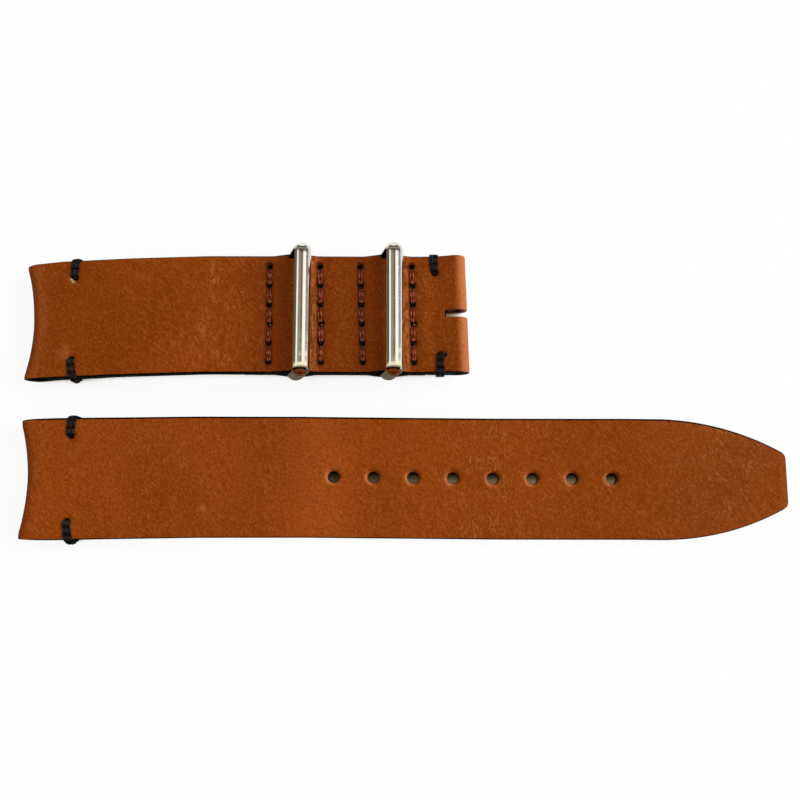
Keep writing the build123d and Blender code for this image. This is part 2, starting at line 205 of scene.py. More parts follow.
def calf_creases(tree, place, crease):
    """Pull-up creases: fine broken lines across the strap where it has been bent, pale partly from the
    pull-up and partly as painted glints, and beside them the bottoms that take painted shade."""
    across = add(tree, "Mapping", {"Vector": place, "Scale": (1.0, 0.3, 0.5)})
    lines = add(tree, "TexNoise", {"Vector": across, "Scale": per_mm(1.1), "Detail": 2.0,
                                   "Distortion": 0.8})
    patches = add(tree, "TexNoise", {"Vector": place, "Scale": per_mm(2.6), "Detail": 2.0})
    patched = add(tree, "MapRange", {0: patches, 1: 0.4, 2: 0.62})
    shares = []
    # Each lies at a level of the pattern, with a width and a share at its middle
    for level, width, middle in ((0.5, 0.035, 1.0), (0.545, 0.02, 0.5)):
        off = add(tree, "Math", {0: lines, 1: level}, operation="SUBTRACT")
        distance = add(tree, "Math", {0: off}, operation="ABSOLUTE")
        band = add(tree, "MapRange", {0: distance, 2: width, 3: middle, 4: 0.0})
        shares.append(add(tree, "Math", {0: band, 1: crease}, operation="MULTIPLY"))
    broken = add(tree, "Math", {0: shares[0], 1: patched}, operation="MULTIPLY")
    return broken, shares[1]


def tan_calf():
    """Vegetable-tanned calf, aniline dyed cognac and waxed dull: an even orange brown with darker pits and
    fine pale specks on the grain that are painted glints, paler and redder where it has been bent, partly
    from the wax and partly as painted sheen, with painted shade in creases and round holes, and black paint
    on its cut edges."""
    material, tree, shader, place = begin("Vegetable-tanned calf, cognac")
    held = {name: add(tree, "Attribute", attribute_name=name).outputs["Fac"]
            for name in ("tone", "wear", "crease", "dark", "cut", "torn", "paint", "creep")}
    # Dye clouds of about 15 mm, faint, made lighter or darker part by part, in places as painted light and
    # shade
    clouds = add(tree, "TexNoise", {"Vector": place, "Scale": per_mm(15), "Detail": 2.0})
    dye = add(tree, "ValToRGB", {0: clouds}, stops=((0.3, "#7C3503"), (0.7, "#873B04")))
    look = add(tree, "VectorMath", {0: dye, "Scale": held["tone"]}, operation="SCALE")
    wrinkles, wrinkled, uneven, wrinkle_bottoms = calf_wrinkles(tree, place, held["crease"])
    worn_and_sheen = add(tree, "Math", {0: held["wear"], 1: uneven}, operation="MULTIPLY", use_clamp=True)
    # Grain of about 0.3 mm, drawn out slantwise over the hide, and pores of 0.45 mm
    slanted = add(tree, "Mapping", {"Vector": place, "Rotation": (0.0, 0.0, math.radians(-50)),
                                    "Scale": (1.9, 0.8, 1.0)}, vector_type="TEXTURE")
    grain = add(tree, "TexNoise", {"Vector": slanted, "Scale": per_mm(0.3), "Detail": 2.0,
                                   "Roughness": 0.5})
    pits = add(tree, "MapRange", {0: grain, 1: 0.5, 2: 0.3, 4: 0.5})
    grain_glints = add(tree, "MapRange", {0: grain, 1: 0.52, 2: 0.72, 4: 0.4})
    pores = add(tree, "TexVoronoi", {"Vector": place, "Scale": per_mm(0.45)}, feature="SMOOTH_F1")
    creases, crease_bottoms = calf_creases(tree, place, held["crease"])
    pull_up_and_glints = add(tree, "Math", {0: creases, 1: 0.75}, operation="MULTIPLY")
    sunken = add(tree, "Math", {0: crease_bottoms, 1: wrinkle_bottoms}, operation="MAXIMUM")
    cut = add(tree, "MapRange", {0: held["cut"], 1: 0.2, 2: 0.5})
    # Edge paint put on by hand: its border strays by about 0.1 mm
    border = add(tree, "TexNoise", {"Vector": place, "Scale": per_mm(0.9), "Detail": 3.0})
    stray = add(tree, "Math", {0: border, 1: 0.22, 2: held["creep"]}, operation="MULTIPLY_ADD")
    reach = add(tree, "Math", {0: held["paint"], 1: stray}, operation="ADD")
    painted = add(tree, "MapRange", {0: reach, 1: 0.26, 2: 0.33})
    coats = (
        # Paler and redder where waxed leather is turned over an edge or drawn over a bar: partly the wax
        # drawn pale, partly a painted highlight on the bends
        (worn_and_sheen, "#B26A3E"),
        (pits, "#5E2502"),
        # Pale specks on the grain: painted glints
        (grain_glints, "#A8602C"),
        # Pale crease lines: partly pull-up, partly painted glints
        (pull_up_and_glints, "#BC7848"),
        # Painted shade in the bottoms of creases and wrinkles
        (sunken, "#591F06"),
        # Painted shade: darker round the needle and tack holes, in the grooves beside the seams' threads and
        # on the back rims of the tongue holes
        (held["dark"], "#160602"),
        # Raw fibres in a cut, and cream ones where an awl tore it
        (cut, "#6E3A1C"),
        (held["torn"], "#E3BE93"),
        (painted, "#050404"),
    )
    for share, code in coats:
        look = add(tree, "Mix", {0: share, 6: look, 7: code}, data_type="RGBA")
    folds = add(tree, "Math", {0: wrinkles, 1: wrinkled, 2: creases}, operation="MULTIPLY_ADD")
    # Relief of 0.03 mm for the pores, 0.04 mm for the grain and 0.06 mm for the creases
    relief = {}
    for strength, depth, pattern in ((0.4, 0.03, pores), (0.9, 0.04, grain), (0.9, 0.06, folds)):
        bump = add(tree, "Bump", {"Strength": strength, "Distance": depth * MM, "Height": pattern,
                                  **relief})
        relief = {"Normal": bump}
    rough = add(tree, "MapRange", {0: grain, 1: 0.3, 2: 0.7, 3: 0.52, 4: 0.64})
    # The wax is buffed dull and holds little of the room
    feed(tree, shader, {"Base Color": look, "Roughness": rough, "IOR": 1.47,
                        "Specular IOR Level": 0.07, **relief})
    return material


def lining_calf(name, flat, pore):
    """Corrected lining leather, dyed through and matt, with a printed grain of 0.5 mm."""
    material, tree, shader, place = begin(name)
    grain = add(tree, "TexVoronoi", {"Vector": place, "Scale": per_mm(0.5)}, feature="SMOOTH_F1")
    clouds = add(tree, "TexNoise", {"Vector": place, "Scale": per_mm(6), "Detail": 4.0})
    share = add(tree, "Math", {0: grain, 1: clouds}, operation="MULTIPLY")
    tone = add(tree, "Mix", {0: share, 6: flat, 7: pore}, data_type="RGBA")
    rough = add(tree, "MapRange", {0: clouds, 1: 0.3, 2: 0.7, 3: 0.52, 4: 0.7})
    bump = add(tree, "Bump", {"Strength": 0.6, "Distance": 0.04 * MM, "Height": grain})
    feed(tree, shader, {"Base Color": tone, "Roughness": rough, "Specular IOR Level": 0.15,
                        "Normal": bump})
    return material


def stiffener_sheet():
    """Black non-woven strap stiffener: short pressed fibres, dull and even."""
    material, tree, shader, place = begin("Non-woven stiffener, black")
    fibres = add(tree, "TexNoise", {"Vector": place, "Scale": per_mm(0.7), "Detail": 5.0,
                                    "Distortion": 1.5})
    tone = add(tree, "Mix", {0: fibres, 6: "#0F0E0D", 7: "#24221F"}, data_type="RGBA")
    bump = add(tree, "Bump", {"Strength": 0.4, "Distance": 0.05 * MM, "Height": fibres})
    feed(tree, shader, {"Base Color": tone, "Roughness": 0.7, "Normal": bump})
    return material


def sewing_thread(name, flat, ridge, rough, sheen):
    """Waxed linen thread: three plies whose twist runs round the strand, each ply's back pale with a painted
    highlight. The mesh's map holds mm along the strand and turns round it."""
    material, tree, shader, place = begin(name)
    strand = add(tree, "SeparateXYZ", {0: add(tree, "UVMap", uv_map="strand")})
    # One ply each 1.3 mm of strand
    lay = add(tree, "Math", {0: strand.outputs[0], 1: 1 / 1.3, 2: strand.outputs[1]},
              operation="MULTIPLY_ADD")
    phase = add(tree, "Math", {0: lay, 1: math.tau}, operation="MULTIPLY")
    wave = add(tree, "Math", {0: phase}, operation="SINE")
    ply = add(tree, "MapRange", {0: wave, 1: -1.0})
    fuzz = add(tree, "TexNoise", {"Vector": place, "Scale": per_mm(0.25), "Detail": 3.0})
    share = add(tree, "Math", {0: ply, 1: fuzz}, operation="MULTIPLY")
    # Painted highlight: each ply's back is paler
    tone = add(tree, "Mix", {0: share, 6: flat, 7: ridge}, data_type="RGBA")
    # Painted shade: down in a hole the thread is darkened
    depth = add(tree, "Attribute", attribute_name="depth").outputs["Fac"]
    look = add(tree, "Mix", {0: depth, 6: tone, 7: "#080201"}, data_type="RGBA")
    bump = add(tree, "Bump", {"Strength": 0.7, "Distance": 0.06 * MM, "Height": ply})
    feed(tree, shader, {"Base Color": look, "Roughness": rough, "Specular IOR Level": 0.15,
                        "Sheen Weight": sheen, "Normal": bump})
    return material


def polished_steel():
    """Nickel-plated steel wire, bent and hand polished: a warm mirror with faint wheel
    marks and a slightly uneven face."""
    material, tree, shader, place = begin("Nickel-plated steel, polished")
    tarnish = add(tree, "TexNoise", {"Vector": place, "Scale": per_mm(3), "Detail": 3.0})
    tone = add(tree, "Mix", {0: tarnish, 6: "#CFCAC0", 7: "#DBD8D0"}, data_type="RGBA")
    rough = add(tree, "MapRange", {0: tarnish, 1: 0.3, 2: 0.7, 3: 0.06, 4: 0.12})
    # Wheel marks along the wire, drawn 0.2 mm apart so that they show, and slow waves
    drawn = add(tree, "Mapping", {"Vector": place, "Scale": (1.0, 0.06, 1.0)})
    marks = add(tree, "TexNoise", {"Vector": drawn, "Scale": per_mm(0.2), "Detail": 2.0})
    waves = add(tree, "TexNoise", {"Vector": place, "Scale": per_mm(2.2), "Detail": 1.0})
    mark_bump = add(tree, "Bump", {"Strength": 0.12, "Distance": 0.004 * MM, "Height": marks})
    wave_bump = add(tree, "Bump", {"Strength": 0.35, "Distance": 0.05 * MM, "Height": waves,
                                   "Normal": mark_bump})
    feed(tree, shader, {"Base Color": tone, "Metallic": 1.0, "Roughness": rough,
                        "Normal": wave_bump})
    return material


# Side sections of the folded and flat layers

SECTION_STEP = 0.05


def straight(start, end):
    """Points from one place to another, for shares of the way."""
    start, end = np.array(start, float), np.array(end, float)
    return lambda t: start + (end - start) * t[:, None]


def turn(centre, radius, start, end):
    """Points round a circle from one angle to another, in degrees."""
    def points(t):
        angle = np.radians(start + (end - start) * t)
        return np.column_stack((centre[0] + radius * np.cos(angle), centre[1] + radius * np.sin(angle)))
    return points


def along_heights(start, end, heights):
    """Points whose height is a function of their place."""
    def points(t):
        x = start + (end - start) * t
        return np.column_stack((x, heights(x)))
    return points


def polyline(*corners):
    """A function of the place along a half, through the corners given."""
    xs, values = np.array(corners, float).T
    return lambda x: np.interp(x, xs, values)


def bulged(base, radius, foot_height, reach, way):
    """A height function with leather drawn over both keeper bars."""
    foot_rise = foot_height - PIVOT_HEIGHT
    lean = math.acos(radius / math.hypot(reach, foot_rise))
    angle = math.atan2(foot_rise, reach) + way * lean
    touch, up = radius * math.cos(angle), radius * math.sin(angle)

    def heights(x):
        z = base(x)
        for place in KEEPER_PLACES:
            off = np.abs(x - place)
            flank = PIVOT_HEIGHT + np.interp(off, (touch, reach), (up, foot_rise))
            crown = PIVOT_HEIGHT + way * np.sqrt(np.maximum(radius ** 2 - off ** 2, 0))
            shape = np.where(off < touch, crown, flank)
            z = np.where(off < reach, shape, z)
        return z
    return heights


def unit(vectors):
    """Vectors made one long."""
    return vectors / np.maximum(np.linalg.norm(vectors, axis=1), 1e-6)[:, None]


def lengths_along(points):
    """How far along a curve each of its points lies."""
    return np.r_[0, np.cumsum(np.linalg.norm(np.diff(points, axis=0), axis=1))]


def sampled(lengths, known, points):
    """A curve's points at the lengths asked for, from those at the lengths known."""
    return np.column_stack([np.interp(lengths, known, points[:, i]) for i in (0, 1)])


class Section:
    """A layer's side section: points of its outer and inner face that belong together. The
    outer face is softened over a distance in mm."""

    def __init__(self, runs, soften=0.0):
        outer, inner = [], []
        for outer_run, inner_run in runs:
            rough = outer_run(np.linspace(0, 1, 40))
            length = np.linalg.norm(np.diff(rough, axis=0), axis=1).sum()
            t = np.linspace(0, 1, max(4, int(length / SECTION_STEP)), endpoint=False)
            outer.append(outer_run(t))
            inner.append(inner_run(t))
        outer.append(runs[-1][0](np.ones(1)))
        inner.append(runs[-1][1](np.ones(1)))
        outer, inner = np.vstack(outer), np.vstack(inner)
        lengths = lengths_along(outer)
        self.u = np.linspace(0, lengths[-1], int(lengths[-1] / SECTION_STEP))
        self.outer = sampled(self.u, lengths, outer)
        self.inner = sampled(self.u, lengths, inner)
        if soften:
            reach = int(3 * soften / SECTION_STEP)
            weights = np.exp(-0.5 * (np.arange(-reach, reach + 1) * SECTION_STEP / soften) ** 2)
            weights /= weights.sum()
            for i in (0, 1):
                padded = np.pad(self.outer[:, i], reach, mode="reflect", reflect_type="odd")
                self.outer[:, i] = np.convolve(padded, weights, mode="valid")
        self.nose = int(np.argmin(self.outer[:, 0]))
        self.far = int(np.argmax(self.outer[:, 0]))

    def at(self, u):
        """Outer and inner points at lengths along the sheet."""
        return sampled(u, self.u, self.outer), sampled(u, self.u, self.inner)

    def top(self, x):
        """Length along the sheet where its outer side is at x."""
        part = slice(self.nose, self.far + 1)
        return np.interp(x, self.outer[part, 0], self.u[part])

    def under(self, x):
        """Length along the sheet where its turned-under side is at x."""
        part = slice(0, self.nose) if x < LONG_LENGTH / 3 else slice(self.far, len(self.u))
        return np.interp(x, self.outer[part, 0][::-1], self.u[part][::-1])

    def height(self, u):
        """Height of the outer face at a length along the sheet."""
        return float(np.interp(u, self.u, self.outer[:, 1]))


def lug_runs(flap_corners, top_start, top_inner):
    """Runs of a sheet folded under round the spring bar's bore, up to where layers start."""
    lug = (LUG_OUTER, LUG_OUTER)
    (end, end_inner), (start, start_inner), (foot, meet) = flap_corners
    bore_side = (LUG_OUTER + LUG_BORE, LUG_OUTER)
    knee = (bore_side[0], LUG_LOOP)
    return [
        (straight(end, start), straight(end_inner, start_inner)),
        (straight(start, (LAYERS_MEET, start[1])), straight(start_inner, meet)),
        (straight((LAYERS_MEET, start[1]), foot), straight(meet, bore_side)),
        (straight(foot, (LUG_OUTER, 0)), turn(lug, LUG_BORE, 0, -90)),
        (turn(lug, LUG_OUTER, -90, -270), turn(lug, LUG_BORE, -90, -270)),
        (straight((LUG_OUTER, LUG_LOOP), knee), turn(lug, LUG_BORE, 90, 0)),
        (straight(knee, (LAYERS_MEET, top_start)), straight(bore_side, meet)),
        (straight((LAYERS_MEET, top_start), (LAYERS_START, top_start)), straight(meet, top_inner)),
    ]


def fold_runs():
    """Runs of the short leather from the last seam round the buckle bar's bore and back
    under the lining. The layers part in bites of the round, where the lining ends."""
    foot_rise, reach = SHORT_TOP - FOLD[1], FOLD[0] - FOLD_FOOT
    lean = math.acos(FOLD_OUTER / math.hypot(reach, foot_rise))
    touch = math.degrees(math.atan2(foot_rise, -reach) - lean)
    bite = 14.0
    touch_point = turn(FOLD, FOLD_OUTER, touch, touch)(np.zeros(1))[0]
    under_touch = (touch_point[0], 2 * FOLD[1] - touch_point[1])
    low_inner = INTERFACE - LINING
    lining_top, lining_mid, lining_low = [(LINING_END, z) for z in (INTERFACE, FOLD[1], low_inner)]
    bore_side = (FOLD[0] - FOLD_BORE, FOLD[1])
    strap_end = BACKING_END + 0.1
    angles = (touch, touch - bite, touch - 2 * bite, 2 * bite - touch, bite - touch, -touch)
    rounds = [turn(FOLD, FOLD_OUTER, start, end) for start, end in zip(angles, angles[1:])]
    insides = [
        straight(lining_top, lining_mid), straight(lining_mid, bore_side),
        turn(FOLD, FOLD_BORE, 180, -180),
        straight(bore_side, lining_mid), straight(lining_mid, lining_low),
    ]
    return [
        (straight((FOLD_FOOT, SHORT_TOP), touch_point), straight((FOLD_FOOT, INTERFACE), lining_top)),
        *zip(rounds, insides),
        (straight(under_touch, (FOLD_FOOT, SHORT_UNDER)), straight(lining_low, (FOLD_FOOT, low_inner))),
        (straight((FOLD_FOOT, SHORT_UNDER), (strap_end, SHORT_UNDER)),
         straight((FOLD_FOOT, low_inner), (strap_end, low_inner))),
    ]


def short_sections():
    """The short leather's side section, and each flat layer's start, end, top and low side."""
    top = polyline((0, LUG_LOOP), (LUG_LOOP_END, LUG_LOOP), (RISE_END, SHORT_TOP),
                   (SHORT_LENGTH, SHORT_TOP))
    start, flap_end = float(top(LAYERS_START)), float(top(FLAP_LENGTH))
    stack = TOP_LEATHER + STIFFENER + LINING
    low_inner = INTERFACE - LINING
    corners = [
        ((FLAP_LENGTH, flap_end - stack - FLAP_EDGE), (FLAP_LENGTH, flap_end - stack)),
        ((LAYERS_START, start - stack - FLAP), (LAYERS_START, start - stack)),
        ((LUG_OUTER + LUG_BORE, 0.2), (LAYERS_MEET, start / 2 + 0.2)),
    ]

    def under_top(x):
        return top(x) - TOP_LEATHER

    humps = (bulged(top, TUNNEL + TOP_LEATHER, SHORT_TOP, HUMP_REACH, 1),
             bulged(under_top, TUNNEL, INTERFACE, TUNNEL_REACH, 1))
    runs = lug_runs(corners, start, (LAYERS_START, start - TOP_LEATHER))
    runs.append([along_heights(LAYERS_START, FOLD_FOOT, side) for side in humps])
    runs += fold_runs()

    lining_base = polyline(
        (LAYERS_START, start - TOP_LEATHER - STIFFENER), (RISE_END, INTERFACE - STIFFENER),
        (SHORT_STIFFENER_END, INTERFACE - STIFFENER), (LINING_LEVEL, INTERFACE),
        (LINING_END, INTERFACE))
    strip_top = polyline(
        (BACKING_START, low_inner - STIFFENER), (SHORT_STIFFENER_END, low_inner - STIFFENER),
        (LINING_LEVEL, low_inner), (BACKING_END, low_inner))
    strip_edge = low_inner - STIFFENER - FLAP_EDGE
    strip_low = polyline((BACKING_START, strip_edge), (SHORT_STIFFENER_END, strip_edge),
                         (LINING_LEVEL, SHORT_UNDER), (BACKING_END, SHORT_UNDER))
    belly = TUNNEL + LINING
    layers = {
        "short_stiffener": (LAYERS_START, SHORT_STIFFENER_END, under_top,
                            lambda x: under_top(x) - STIFFENER),
        "short_lining": (LAYERS_START, LINING_END,
                         bulged(lining_base, TUNNEL, INTERFACE, TUNNEL_REACH, -1),
                         bulged(lambda x: lining_base(x) - LINING, belly, low_inner, TUNNEL_REACH, -1)),
        "keeper_backing": (BACKING_START, BACKING_END,
                           bulged(strip_top, belly, low_inner, TUNNEL_REACH, -1),
                           bulged(strip_low, belly + BACKING, SHORT_UNDER, TUNNEL_REACH, -1)),
    }
    return Section(runs, soften=0.3), layers


def long_sections():
    """The long leather's side section, and each flat layer's start, end, top and low side."""
    top = polyline((0, LUG_LOOP), (LUG_LOOP_END, LUG_LOOP), (RISE_END, PAD_HEIGHT),
                   (PAD_END, TAIL_STACK), (LONG_LENGTH, TAIL_STACK))
    start = float(top(LAYERS_START))
    corners = [
        ((FLAP_LENGTH, 0), (FLAP_LENGTH, FLAP_EDGE)),
        ((LAYERS_START, 0), (LAYERS_START, FLAP)),
        ((LUG_OUTER + LUG_BORE, 0), (LAYERS_MEET, start / 2)),
    ]
    lift = polyline((LAYERS_START, FLAP), (FLAP_LENGTH, FLAP_EDGE), (RAMP_END, 0), (LONG_LENGTH, 0))

    def under_top(x):
        return top(x) - TOP_LEATHER

    def lining_top(x):
        return lift(x) + LINING

    def stiffener_top(x):
        return lift(x) + LINING + STIFFENER

    # Both inner sheets keep a skived edge where the leathers meet
    def padding_top(x):
        return np.maximum(under_top(x), stiffener_top(x) + SKIVED_EDGE)

    def stiffener_face(x):
        return np.clip(under_top(x), lining_top(x) + SKIVED_EDGE, stiffener_top(x))

    runs = lug_runs(corners, start, (LAYERS_START, start - TOP_LEATHER))
    runs.append([along_heights(LAYERS_START, LONG_LENGTH, side) for side in (top, under_top)])
    layers = {
        "long_padding": (LAYERS_START, PAD_FEATHER, padding_top, stiffener_top),
        "long_stiffener": (LAYERS_START, PAD_END, stiffener_face, lining_top),
        "long_lining": (LAYERS_START, LONG_LENGTH, lining_top, lift),
    }
    return Section(runs, soften=0.3), layers


# How far each half, taken off a wrist, bows sideways along its length
short_bend = polyline((-1.4, -0.85), (5.0, -0.38), (16.0, -0.05), (30.0, 0.36), (66.0, 0.2),
                      (74.0, 0.34))
long_bend = polyline((0, -0.42), (12.0, -0.2), (28.0, 0.03), (46.0, 0.03), (78.0, -0.32),
                     (100.0, -0.38), (126.0, -0.68))
HALVES = {"short_half": (SHORT_AT, short_bend), "long_half": (LONG_AT, long_bend)}


# Outlines

def eased(value, start, end):
    """A soft step from 0 at start to 1 at end."""
    share = np.clip((value - start) / (end - start), 0, 1)
    return share * share * (3 - 2 * share)


def plan_half_width(x):
    """Half the width at x: eased in at the lug tips."""
    return HALF_WIDTH - TIP_INSET * (np.maximum(TIP_RUN - x, 0) / (TIP_RUN + LUG_HOLLOW)) ** 2


def tail_half_width(x):
    """Half the width of the long half, with the tail's two arcs."""
    drop = HALF_WIDTH - TAIL_TIP
    radius = (TAIL_TAPER ** 2 + drop ** 2) / (2 * drop)
    past = np.maximum(x - (LONG_LENGTH - TAIL_TAPER), 0)
    return plan_half_width(x) - (radius - np.sqrt(radius ** 2 - past ** 2))


def hollow_shift(x, y):
    """How far the concave lug end, a little askew, moves a point along the half."""
    share = eased(x, TIP_RUN, LUG_OUTER)
    return -(LUG_HOLLOW * (y / (HALF_WIDTH - TIP_INSET)) ** 2 + LUG_SKEW * y) * share


def fold_shift(x, y):
    """How far the buckle fold, turned askew, moves a point along the half."""
    return -math.tan(math.radians(FOLD_TURN)) * y * eased(x, LINING_END - 1.5, FOLD[0])


def tail_shift(x, y):
    """How far the worn tail has stretched."""
    return TAIL_STRETCH * eased(x, 90.0, LONG_LENGTH)


def layer_outline(section, half_width, corner, step):
    """A layer's outline in its own length and width, counter-clockwise from the start, with
    its far corners rounded."""
    length = section.u[-1]
    u = np.linspace(0, length, int(length / step))
    edge = half_width(section.at(u)[0][:, 0])
    if corner:
        keep = u < length - corner
        t = np.linspace(0, 1, 8)[:, None]
        start = np.array((u[keep][-1], edge[keep][-1]))
        tip = np.array((length, edge[-1]))
        end = np.array((length, edge[-1] - corner))
        bend = start * (1 - t) ** 2 + 2 * tip * t * (1 - t) + end * t ** 2
        u, edge = np.r_[u[keep], bend[1:, 0]], np.r_[edge[keep], bend[1:, 1]]
    far_v, near_v = [np.linspace(-half, half, max(int(2 * half / step), 2))[1:-1]
                     for half in (edge[-1], edge[0])]
    lower = np.column_stack((u, -edge))
    upper = np.column_stack((u, edge))[::-1]
    far = np.column_stack((np.full(len(far_v), length), far_v))
    near = np.column_stack((np.zeros(len(near_v)), near_v[::-1]))
    return np.vstack((lower, far, upper, near))


def square_hole(u_low, u_high, v_low, v_high, corner):
    """A rectangular hole's outline with rounded corners, clockwise."""
    points = []
    corners = ((u_high, v_low, 0), (u_low, v_low, -90), (u_low, v_high, -180), (u_high, v_high, -270))
    for u, v, start in corners:
        centre_u = u - corner if u == u_high else u + corner
        centre_v = v - corner if v == v_high else v + corner
        for angle in np.radians(np.linspace(start, start - 90, 6)):
            points.append((centre_u + corner * math.cos(angle), centre_v + corner * math.sin(angle)))
    return dense_loop(np.array(points), 0.3)


def dense_loop(points, step):
    """A closed outline with its long sides parted into steps."""
    dense = []
    for start, end in zip(points, np.roll(points, -1, axis=0)):
        count = max(int(math.dist(start[:2], end[:2]) / step), 1)
        dense += [start + (end - start) * (i / count) for i in range(count)]
    return np.array(dense)


def awl_hole(u, v, half_u, half_v, corner):
    """An awl hole's outline round a place."""
    return square_hole(u - half_u, u + half_u, v - half_v, v + half_v, corner)


def tack_holes(section, tacks, under=True):
    """Outlines of the tacks' awl holes, through both sides of a folded sheet."""
    holes = []
    for place, side in tacks:
        spots = [section.top(place)] + ([section.under(place)] if under else [])
        holes += [awl_hole(u, side * TACK_ACROSS, 0.45, 0.35, 0.2) for u in spots]
    return holes


def needle_holes(section):
    """Outlines of the four seams' needle holes."""
    return [awl_hole(section.top(row_place(number, v)), v, 0.4, 0.4, 0.22)
            for number in range(4) for v in NEEDLE_PLACES]


def tongue_holes(section):
    """Outlines of the eight tongue holes, clockwise, each with a slightly uneven edge."""
    angles = -np.linspace(0, math.tau, 28, endpoint=False)
    holes = []
    for place in HOLE_PLACES:
        u = section.top(place)
        reach = HOLE_RADIUS * (1 + 0.012 * np.sin(3 * angles + u) + 0.012 * np.cos(5 * angles))
        holes.append(np.column_stack((u + reach * np.cos(angles), reach * np.sin(angles))))
    return holes


def inside(points, loop):
    """Which points lie inside a closed outline."""
    result = np.zeros(len(points), bool)
    x, y = points.T
    for (x0, y0), (x1, y1) in zip(loop, np.roll(loop, -1, axis=0)):
        crosses = (y0 > y) != (y1 > y)
        if y1 != y0:
            result ^= crosses & (x < (x1 - x0) * (y - y0) / (y1 - y0) + x0)
    return result


def within(points, loops):
    """Which points lie inside the first outline and in none of the holes after it."""
    result = inside(points, loops[0])
    for loop in loops[1:]:
        near = np.abs(points - loop.mean(axis=0)).max(axis=1) < np.ptp(loop, axis=0).max()
        result[near] &= ~inside(points[near], loop)
    return result


def inward(loop):
    """Normals of an outline, to the left of its way, one long and longer at its corners."""
    ahead = unit(np.roll(loop, -1, axis=0) - loop)
    mean = unit(ahead + np.roll(ahead, 1, axis=0))
    stretch = np.clip(1 / np.maximum((mean * ahead).sum(axis=1), 0.4), 1, 1.6)
    return np.column_stack((-mean[:, 1], mean[:, 0])) * stretch[:, None]


# Meshes

def placed(name, data):
    """A new object in the scene."""
    made = bpy.data.objects.new(name, data)
    bpy.context.scene.collection.objects.link(made)
    return made


def mesh_object(name, points, faces, material, values=None):
    """A smooth mesh piece from points in mm, with values held at its points."""
    mesh = bpy.data.meshes.new(name)
    mesh.from_pydata((np.asarray(points) * MM).tolist(), [], faces)
    mesh.materials.append(material)
    for attribute, data in (values or {}).items():
        layer = mesh.attributes.new(attribute, "FLOAT", "POINT")
        layer.data.foreach_set("value", np.asarray(data, np.float32))
    mesh.shade_smooth()
    mesh.set_sharp_from_angle(angle=math.radians(38))
    return placed(name, mesh)


def dress(piece, body, slot, node):
    """Tie a piece to its body and hide the node that it stands for. The slot is not used."""
    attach(piece, body)
    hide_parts(node)


def triangulated(flat, loops):
    """Triangles between flat points, whose first ones are the outlines' own."""
    edges, start = [], 0
    for loop in loops:
        count = len(loop)
        edges += [(start + i, start + (i + 1) % count) for i in range(count)]
        start += count
    result = delaunay_2d_cdt([Vector(p) for p in flat.tolist()], edges, [], 1, 1e-5, True)
    origin = [ids[0] if ids else -1 for ids in result[3]]
    triangles = np.array([[origin[i] for i in face] for face in result[2] if len(face) == 3])
    triangles = triangles[(triangles >= 0).all(axis=1)]
    triangles = triangles[within(flat[triangles].mean(axis=1), loops)]
    a, b, c = flat[triangles[:, 0]], flat[triangles[:, 1]], flat[triangles[:, 2]]
    area = (b[:, 0] - a[:, 0]) * (c[:, 1] - a[:, 1]) - (b[:, 1] - a[:, 1]) * (c[:, 0] - a[:, 0])
    triangles[area < 0] = triangles[area < 0][:, ::-1]
    return triangles


# A distance over the edge, in mm, that lies well inside the edge paint
PAINTED = 3.0


